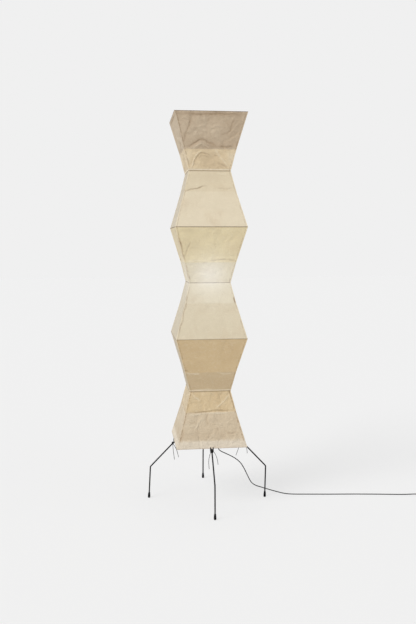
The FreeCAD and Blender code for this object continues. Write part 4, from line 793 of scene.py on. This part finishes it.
# How far each knot has slipped from its place, and its loose ends from its middle: outwards,
# sideways and up, in millimetres.
KNOT_SLIPS = {"front": (0, 0, 0), "right": (0, 0, 0), "back": (0, 0, 0), "left": (0.6, 9.8, -11)}
STRING_ENDS = {
    "front": (
        [(0, -4.5, -2), (2, -9, -15), (4, -15.5, -36), (4, -17.5, -65), (3, -14.5, -93)],
        [(0, 4.5, -2), (2, 12, -12), (4, 21, -29), (4, 27, -51), (2, 29.5, -72)],
    ),
    "right": (
        [(0, 4.5, -2), (-6, 7, -14), (-17, 6, -31), (-27, 4, -57), (-35.5, 4.5, -82)],
        [(0, -4.5, -2), (8, -8, -14), (16, -8, -30), (21, -7, -50), (21.5, -6.6, -69)],
    ),
    "back": (
        [(0, 4.5, -2), (2, 10, -15), (4, 16, -35), (5, 17, -58), (3, 14, -80)],
        [(0, -4.5, -2), (1, -9, -14), (3, -15, -32), (4, -19, -52), (7, -20, -72)],
    ),
    "left": (
        [(0, 3, -3), (-1, 5, -16), (-3, 6.5, -38), (-6, 6.8, -62), (-8.6, 6, -85)],
        [(0, -3, -3), (-7, -7, -14), (-15, -10, -29), (-24, -11.2, -54), (-29, -10.5, -78)],
    ),
}
CORD = 4.8 * MM
# The rest of this block is in millimetres and degrees.
GLAND_TURN = 52
GLAND_REACH = 62
CORD_STRAIGHT = 11
CORD_HEIGHT = 294
CORD_ROUTE = [
    (52, 67.7, 290.6), (57.6, 77.1, 283.9), (61.2, 84.9, 274.3), (62.6, 90.3, 262.6),
    (62.6, 94, 247), (65, 96.6, 231), (75.5, 98.6, 216), (97, 101, 204.5), (127.5, 103.5, 189),
    (162, 107.5, 168), (190, 113, 141.5), (209, 119, 109), (225.5, 127, 74), (241, 136, 41.5),
    (251.5, 143.5, 23), (261.5, 145.5, 12.6), (273, 142, 5.2), (285, 133, 2.4), (300.5, 115, 2.4),
    (320, 91, 2.4), (344, 63, 2.4), (371, 33, 2.4), (400, 4, 2.4), (436, -13.5, 2.4),
    (500, -21.5, 2.4), (564, -30, 2.4), (628, -38.6, 2.4), (690, -45.6, 2.4), (758, -53, 2.4),
    (824, -62, 2.4), (888, -71.5, 2.4), (950, -81.5, 2.4), (1005, -91, 2.4), (1042, -97.6, 4.2),
    (1074, -103.3, 6.5), (1106, -109.4, 6.5),
]
COIL_LEAD = [(0, 0, 0), (16, 0, 0), (34, 0.6, -1.6), (54, 2, -3.1), (72, 4, -3.1)]
PLUG_LEAD = [(0, 0, 0), (12, 0, 0), (26, 1.2, -0.8), (42, 1.6, -1.7), (56, 1.6, -1.7)]
SWITCH_LENGTH = 74
BOOT_LENGTH = 24
COIL_PITCH = 5.3
COIL_OUTER = 34
COIL_LAYER_TURNS = 2.5
COIL_STEPS = 16  # points in each turn
COIL_LOW = 3.4
PLUG_HEIGHT = 7


def level_way(degrees):
    angle = math.radians(degrees)
    return Vector((math.cos(angle), math.sin(angle), 0))


def make_line(name, points, width, material, closed=False):
    """A round cord on a smooth open or closed spline through its route's points, in metres."""
    data = bpy.data.curves.new(name, "CURVE")
    data.dimensions = "3D"
    data.bevel_depth = width / 2
    data.bevel_resolution = 4
    data.resolution_u = 12
    data.use_fill_caps = True
    spline = data.splines.new("NURBS")
    spline.points.add(len(points) - 1)
    for slot, place in zip(spline.points, points):
        slot.co = (*place, 1)
    spline.use_cyclic_u = closed
    spline.order_u = 3
    spline.use_endpoint_u = not closed
    line = add_object(name, data)
    data.materials.append(material)
    return line


def line_length(line):
    """The length of a cord's own smooth line."""
    plain = line.copy()
    plain.data = line.data.copy()
    plain.data.bevel_depth = 0
    mesh = bpy.data.meshes.new_from_object(plain)
    places = [vertex.co for vertex in mesh.vertices]
    total = sum((b - a).length for a, b in zip(places, places[1:]))
    bpy.data.meshes.remove(mesh)
    bpy.data.objects.remove(plain)
    return total


def make_ties(material):
    """At each leg: turns of string round ring and arm, a knot, and two loose ends."""
    for name, degrees in LEG_TURNS.items():
        way = level_way(degrees)
        side = UP.cross(way)
        ring_reach = (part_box("ring_1")[1].x - RING_WIRE_HALF) / max(abs(way.x), abs(way.y))
        crossing = way * ring_reach
        make_lashing(name, crossing, way, side, material)
        out, aside, up = KNOT_SLIPS[name]
        slip = (way * out + side * aside + UP * up) * MM
        place = crossing + way * KNOT_REACH + UP * KNOT_HEIGHT + slip
        make_knot(name, place, way, material)
        for number, route in enumerate(STRING_ENDS[name]):
            places = [
                place + (way * out + side * aside + UP * up) * MM for out, aside, up in route
            ]
            end = make_line(f"tie_{name}_end_{number}", places, STRING, material)
            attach(end, "stand")
            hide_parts(f"tie_{name}")
            line_length(end)


def make_knot(name, place, way, material):
    """A tight knot: one closed strand that winds through itself in five lobes."""
    side = UP.cross(way)
    points = []
    for step in range(KNOT_STEPS):
        angle = 2 * math.pi * step / KNOT_STEPS
        reach = 2.7 + 1.5 * math.cos(5 * angle)
        across = side * (reach * math.cos(2 * angle)) + way * (reach * math.sin(2 * angle))
        points.append(place + (across + UP * (5.0 * math.sin(5 * angle))) * MM)
    knot = make_line(f"tie_{name}_knot", points, KNOT_STRAND, material, closed=True)
    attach(knot, "stand")
    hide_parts(f"tie_{name}")


def make_lashing(name, crossing, way, side, material):
    """Two turns of string, side by side, over the ring and under the arm."""
    ring_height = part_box("ring_1")[0].z + RING_WIRE_HALF
    arm_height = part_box("hub_body")[0].z + ARM_RISE
    over = 3.5 * MM
    under = 5.5 * MM
    level = Vector((crossing.x, crossing.y, 0))
    top, low = ring_height + over, arm_height - under
    for turn, spare in enumerate((0.0, 2.2 * MM)):
        wide = under + spare
        over_ring = [(1, ring_height), (0.4, top), (-0.4, top), (-1, ring_height)]
        under_arm = [
            (wide, arm_height + 3 * MM), (under, arm_height - 4.2 * MM), (1.5 * MM, low),
            (-1.5 * MM, low), (-under, arm_height - 4.2 * MM), (-wide, arm_height + 3 * MM),
        ]
        points = []
        for sign in (-1, 1):
            points += [(share * sign * over, sign * wide, height) for share, height in over_ring]
            points += [(-sign * over, sign * aside, height) for aside, height in under_arm]
        places = [level + way * x + side * y + UP * z for x, y, z in points]
        lashing = make_line(f"tie_{name}_turn_{turn}", places, STRING, material, closed=True)
        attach(lashing, "stand")
        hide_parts(f"tie_{name}")


def coil_places():
    """The coil's turns in its own frame, from its first point towards +X, in millimetres. One
    layer winds inwards, and half a turn climbs to the next, which winds outwards again."""
    reverse = COIL_LAYER_TURNS + 0.25
    total = int(round((2 * COIL_LAYER_TURNS + 0.5) * COIL_STEPS))
    # The spline runs inside its control points, so these stand further out.
    spare = 1 / math.cos(math.pi / COIL_STEPS) ** 0.75
    places = []
    for step in range(1, total):
        turns = step / COIL_STEPS
        inward = turns if turns <= reverse else 2 * reverse - turns
        share = min(max((turns - COIL_LAYER_TURNS) / 0.5, 0), 1)
        climb = share * share * (3 - 2 * share)
        radius = (COIL_OUTER - COIL_PITCH * inward) * spare
        angle = 2 * math.pi * turns - math.pi / 2
        places.append(Vector((math.cos(angle) * radius, math.sin(angle) * radius,
                              climb * COIL_PITCH)))
    return places


def make_mains(material, strap):
    """The mains cord from the gland to the foot switch, and on through its coil to the plug."""
    way = level_way(GLAND_TURN)
    leaves = way * GLAND_REACH + UP * CORD_HEIGHT
    route = [leaves, leaves + way * CORD_STRAIGHT] + [Vector(place) for place in CORD_ROUTE]
    places = [place * MM for place in route]
    first = make_line("mains_cord", places, CORD, material)
    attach(first, "stand")
    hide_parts("cord_to_switch")
    line_length(first)
    entry = route[-1]
    ahead = (route[-1] - route[-2]).normalized()
    boot_end = entry + ahead * (SWITCH_LENGTH + 2 * BOOT_LENGTH)
    lead = [along(boot_end, ahead, step) for step in COIL_LEAD]
    for point in lead[-2:]:
        point.z = COIL_LOW
    lead_way = (lead[-1] - lead[-2]).normalized()
    straight = CORD * 1000
    first_way = Vector((2 * math.pi * COIL_OUTER, COIL_PITCH, 0)).normalized()
    turn = first_way.to_track_quat("X", "Z").inverted()
    turn = lead_way.to_track_quat("X", "Z") @ turn
    origin = lead[-1] + lead_way * straight - turn @ Vector((0, -COIL_OUTER, 0))
    turns = [origin + turn @ place for place in coil_places()]
    last = origin + turn @ Vector((0, COIL_OUTER, COIL_PITCH))
    last_way = turn @ Vector((-2 * math.pi * COIL_OUTER, COIL_PITCH, 0)).normalized()
    coil_end = last + last_way * straight
    plug_lead = [along(coil_end, last_way, step) for step in PLUG_LEAD]
    for point in plug_lead[-2:]:
        point.z = PLUG_HEIGHT
    places = [place * MM for place in lead + turns + plug_lead]
    second = make_line("mains_cord_coiled", places, CORD, material)
    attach(second, "stand")
    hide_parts("cord_to_coil", "cord_coil", "cord_to_plug")
    band = make_strap(origin * MM, turn, strap)
    line_length(second)


def along(start, way, step):
    forwards, left, up = step
    return start + way * forwards + UP.cross(way) * left + UP * up


def make_strap(origin, turn, material):
    """A soft strap round the coil's turns, with its end lapped over itself."""
    inner = (COIL_OUTER - COIL_PITCH * (COIL_LAYER_TURNS - 0.25)) * MM - CORD / 2 - 0.9 * MM
    outer = (COIL_OUTER - COIL_PITCH * 0.25) * MM + CORD / 2 + 0.5 * MM
    bottom = -origin.z + 0.4 * MM
    top = CORD / 2 + COIL_PITCH * MM + 0.9 * MM
    corner = 3.4 * MM
    outline = []
    for centre_x, centre_z, start in (
        (outer - corner, top - corner, 0),
        (inner + corner, top - corner, 90),
        (inner + corner, bottom + corner, 180),
        (outer - corner, bottom + corner, 270),
    ):
        for step in range(7):
            angle = math.radians(start + 15 * step)
            outline.append(
                (centre_x + corner * math.cos(angle), centre_z + corner * math.sin(angle))
            )
    loop = outline + [outline[0]]
    lift = 0.7 * MM
    lap = [(x, z + lift) if z > top - corner else (x + lift, z) for x, z in outline[:10]]
    mesh = bpy.data.meshes.new("coil_strap")
    work = bmesh.new()
    half = 4 * MM
    for chain, reach in ((loop, half), (lap, half * 0.96)):
        rows = []
        for x, z in chain:
            row = [work.verts.new((x, reach * share, z)) for share in (-1, -0.5, 0, 0.5, 1)]
            rows.append(row)
        for before, after in zip(rows, rows[1:]):
            for quad in zip(before, before[1:], after[1:], after):
                work.faces.new(quad)
    bmesh.ops.recalc_face_normals(work, faces=work.faces)
    work.to_mesh(mesh)
    work.free()
    strap = add_object("coil_strap", mesh)
    strap.matrix_world = Matrix.Translation(origin) @ turn.to_matrix().to_4x4()
    thick = strap.modifiers.new("thickness", "SOLIDIFY")
    thick.thickness = 0.6 * MM
    thick.offset = 0
    mesh.materials.append(material)
    smooth(strap)
    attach(strap, "stand")
    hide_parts("coil_tie")
    return strap


# ---------------------------------------------------------------- bulb, hub and the rest


def lit_glass():
    """Frosted glass that glows warm and a little unevenly."""
    material, tree, shader = new_material("bulb_frosted_glass")
    place = own_place(tree)
    frost = grain(tree, place, 900, 2, 0.5)
    base = blend_colours(tree, frost, rgb(250, 240, 214), rgb(255, 250, 236))
    tree.links.new(base, shader.inputs["Base Color"])
    shader.inputs["Roughness"].default_value = 0.35
    glow = spread(tree, grain(tree, place, 30, 1), 0.2, 0.8, 2.2, 2.8)
    tree.links.new(glow, shader.inputs["Emission Strength"])
    shader.inputs["Emission Color"].default_value = (1.0, 0.86, 0.62, 1)
    return material


def dress_frame():
    black = (0.004, 0.004, 0.0045, 1.0)
    worn = (0.030, 0.029, 0.028, 1.0)
    leg_paint = worn_paint("black_leg_paint", black, worn, 0.42)
    dress(leg_paint, "leg_front", "leg_back", "leg_left", "leg_right")
    hub_paint = worn_paint("black_hub_paint", (0.006, 0.006, 0.0065, 1.0), worn, 0.5)
    dress(hub_paint, "hub_body", "hub_cover", "mast_junction")
    rubber = moulded("black_rubber", (0.003, 0.003, 0.0035, 1.0), 0.8, 1100, 0.00008, 0.15)
    dress(rubber, *[f"foot_tip_{name}" for name in LEG_TURNS])
    steel = drawn_metal("nickel_tube", (0.66, 0.65, 0.63, 1.0), 0.28)
    dress(steel, "mast_lower", "mast_upper", "holder_arm")
    screw = drawn_metal("zinc_screws", (0.60, 0.60, 0.62, 1.0), 0.35, (1, 1, 1))
    dress(screw, "cover_screws", "grub_screws", "switch_screws")
    wire = drawn_metal("ring_wire", (0.36, 0.33, 0.30, 1.0), 0.45, (0.05, 0.05, 1))
    dress(wire, "carrier_spokes", *[f"ring_{number}" for number in range(1, SECTIONS + 2)])
    turned = drawn_metal("turned_aluminium", (0.70, 0.70, 0.71, 1.0), 0.33, (1, 1, 30))
    dress(turned, "carrier_collar", "carrier_thumbscrew")
    brass = drawn_metal("brass", (0.78, 0.58, 0.26, 1.0), 0.3, (1, 1, 20))
    dress(brass, "holder_nipple", "holder_thread", "holder_contact")
    nickel = drawn_metal("bulb_cap_metal", (0.74, 0.72, 0.68, 1.0), 0.3, (1, 1, 20))
    dress(nickel, "bulb_cap", "plug_pins")
    plastic = moulded("black_plastic", (0.013, 0.013, 0.014, 1.0), 0.5)
    dress(plastic, "mast_cap", "cord_gland", "holder_dome", "holder_shell")
    fitting = moulded("fitting_plastic", (0.012, 0.012, 0.013, 1.0), 0.42, 1800)
    dress(fitting, "switch_base", "switch_cover", "switch_button", "plug_body")
    ceramic = moulded("ceramic", rgb(232, 228, 218), 0.4, 500, 0.00004)
    dress(ceramic, "holder_insulator")
    filament = moulded("filament", rgb(240, 200, 120), 0.4, 2000)
    dress(filament, "bulb_filament_unit")
    dress(lit_glass(), "bulb_glass")
    sheath = moulded("cord_sheath", (0.009, 0.009, 0.0095, 1.0), 0.5, 1500, 0.00006, 0.22)
    dress(sheath, "inner_lead")
    return sheath


make_camera()
make_world()
make_lamp("key", KEY_WAY, KEY_SHARE, KEY_SOFTNESS)
make_lamp("fill", FILL_WAY, FILL_SHARE, FILL_SOFTNESS)
make_stage()
cord_sheath = dress_frame()
strap_material = moulded("strap", (0.012, 0.012, 0.013, 1.0), 0.8, 1600, 0.0002)
make_mains(cord_sheath, strap_material)
string_material = twisted(
    "black_string", (0.008, 0.008, 0.008, 1.0), (0.04, 0.038, 0.036, 1.0), 90, 0.85
)
make_ties(string_material)
make_shade()

scene = bpy.context.scene
scene.view_settings.view_transform = "Standard"
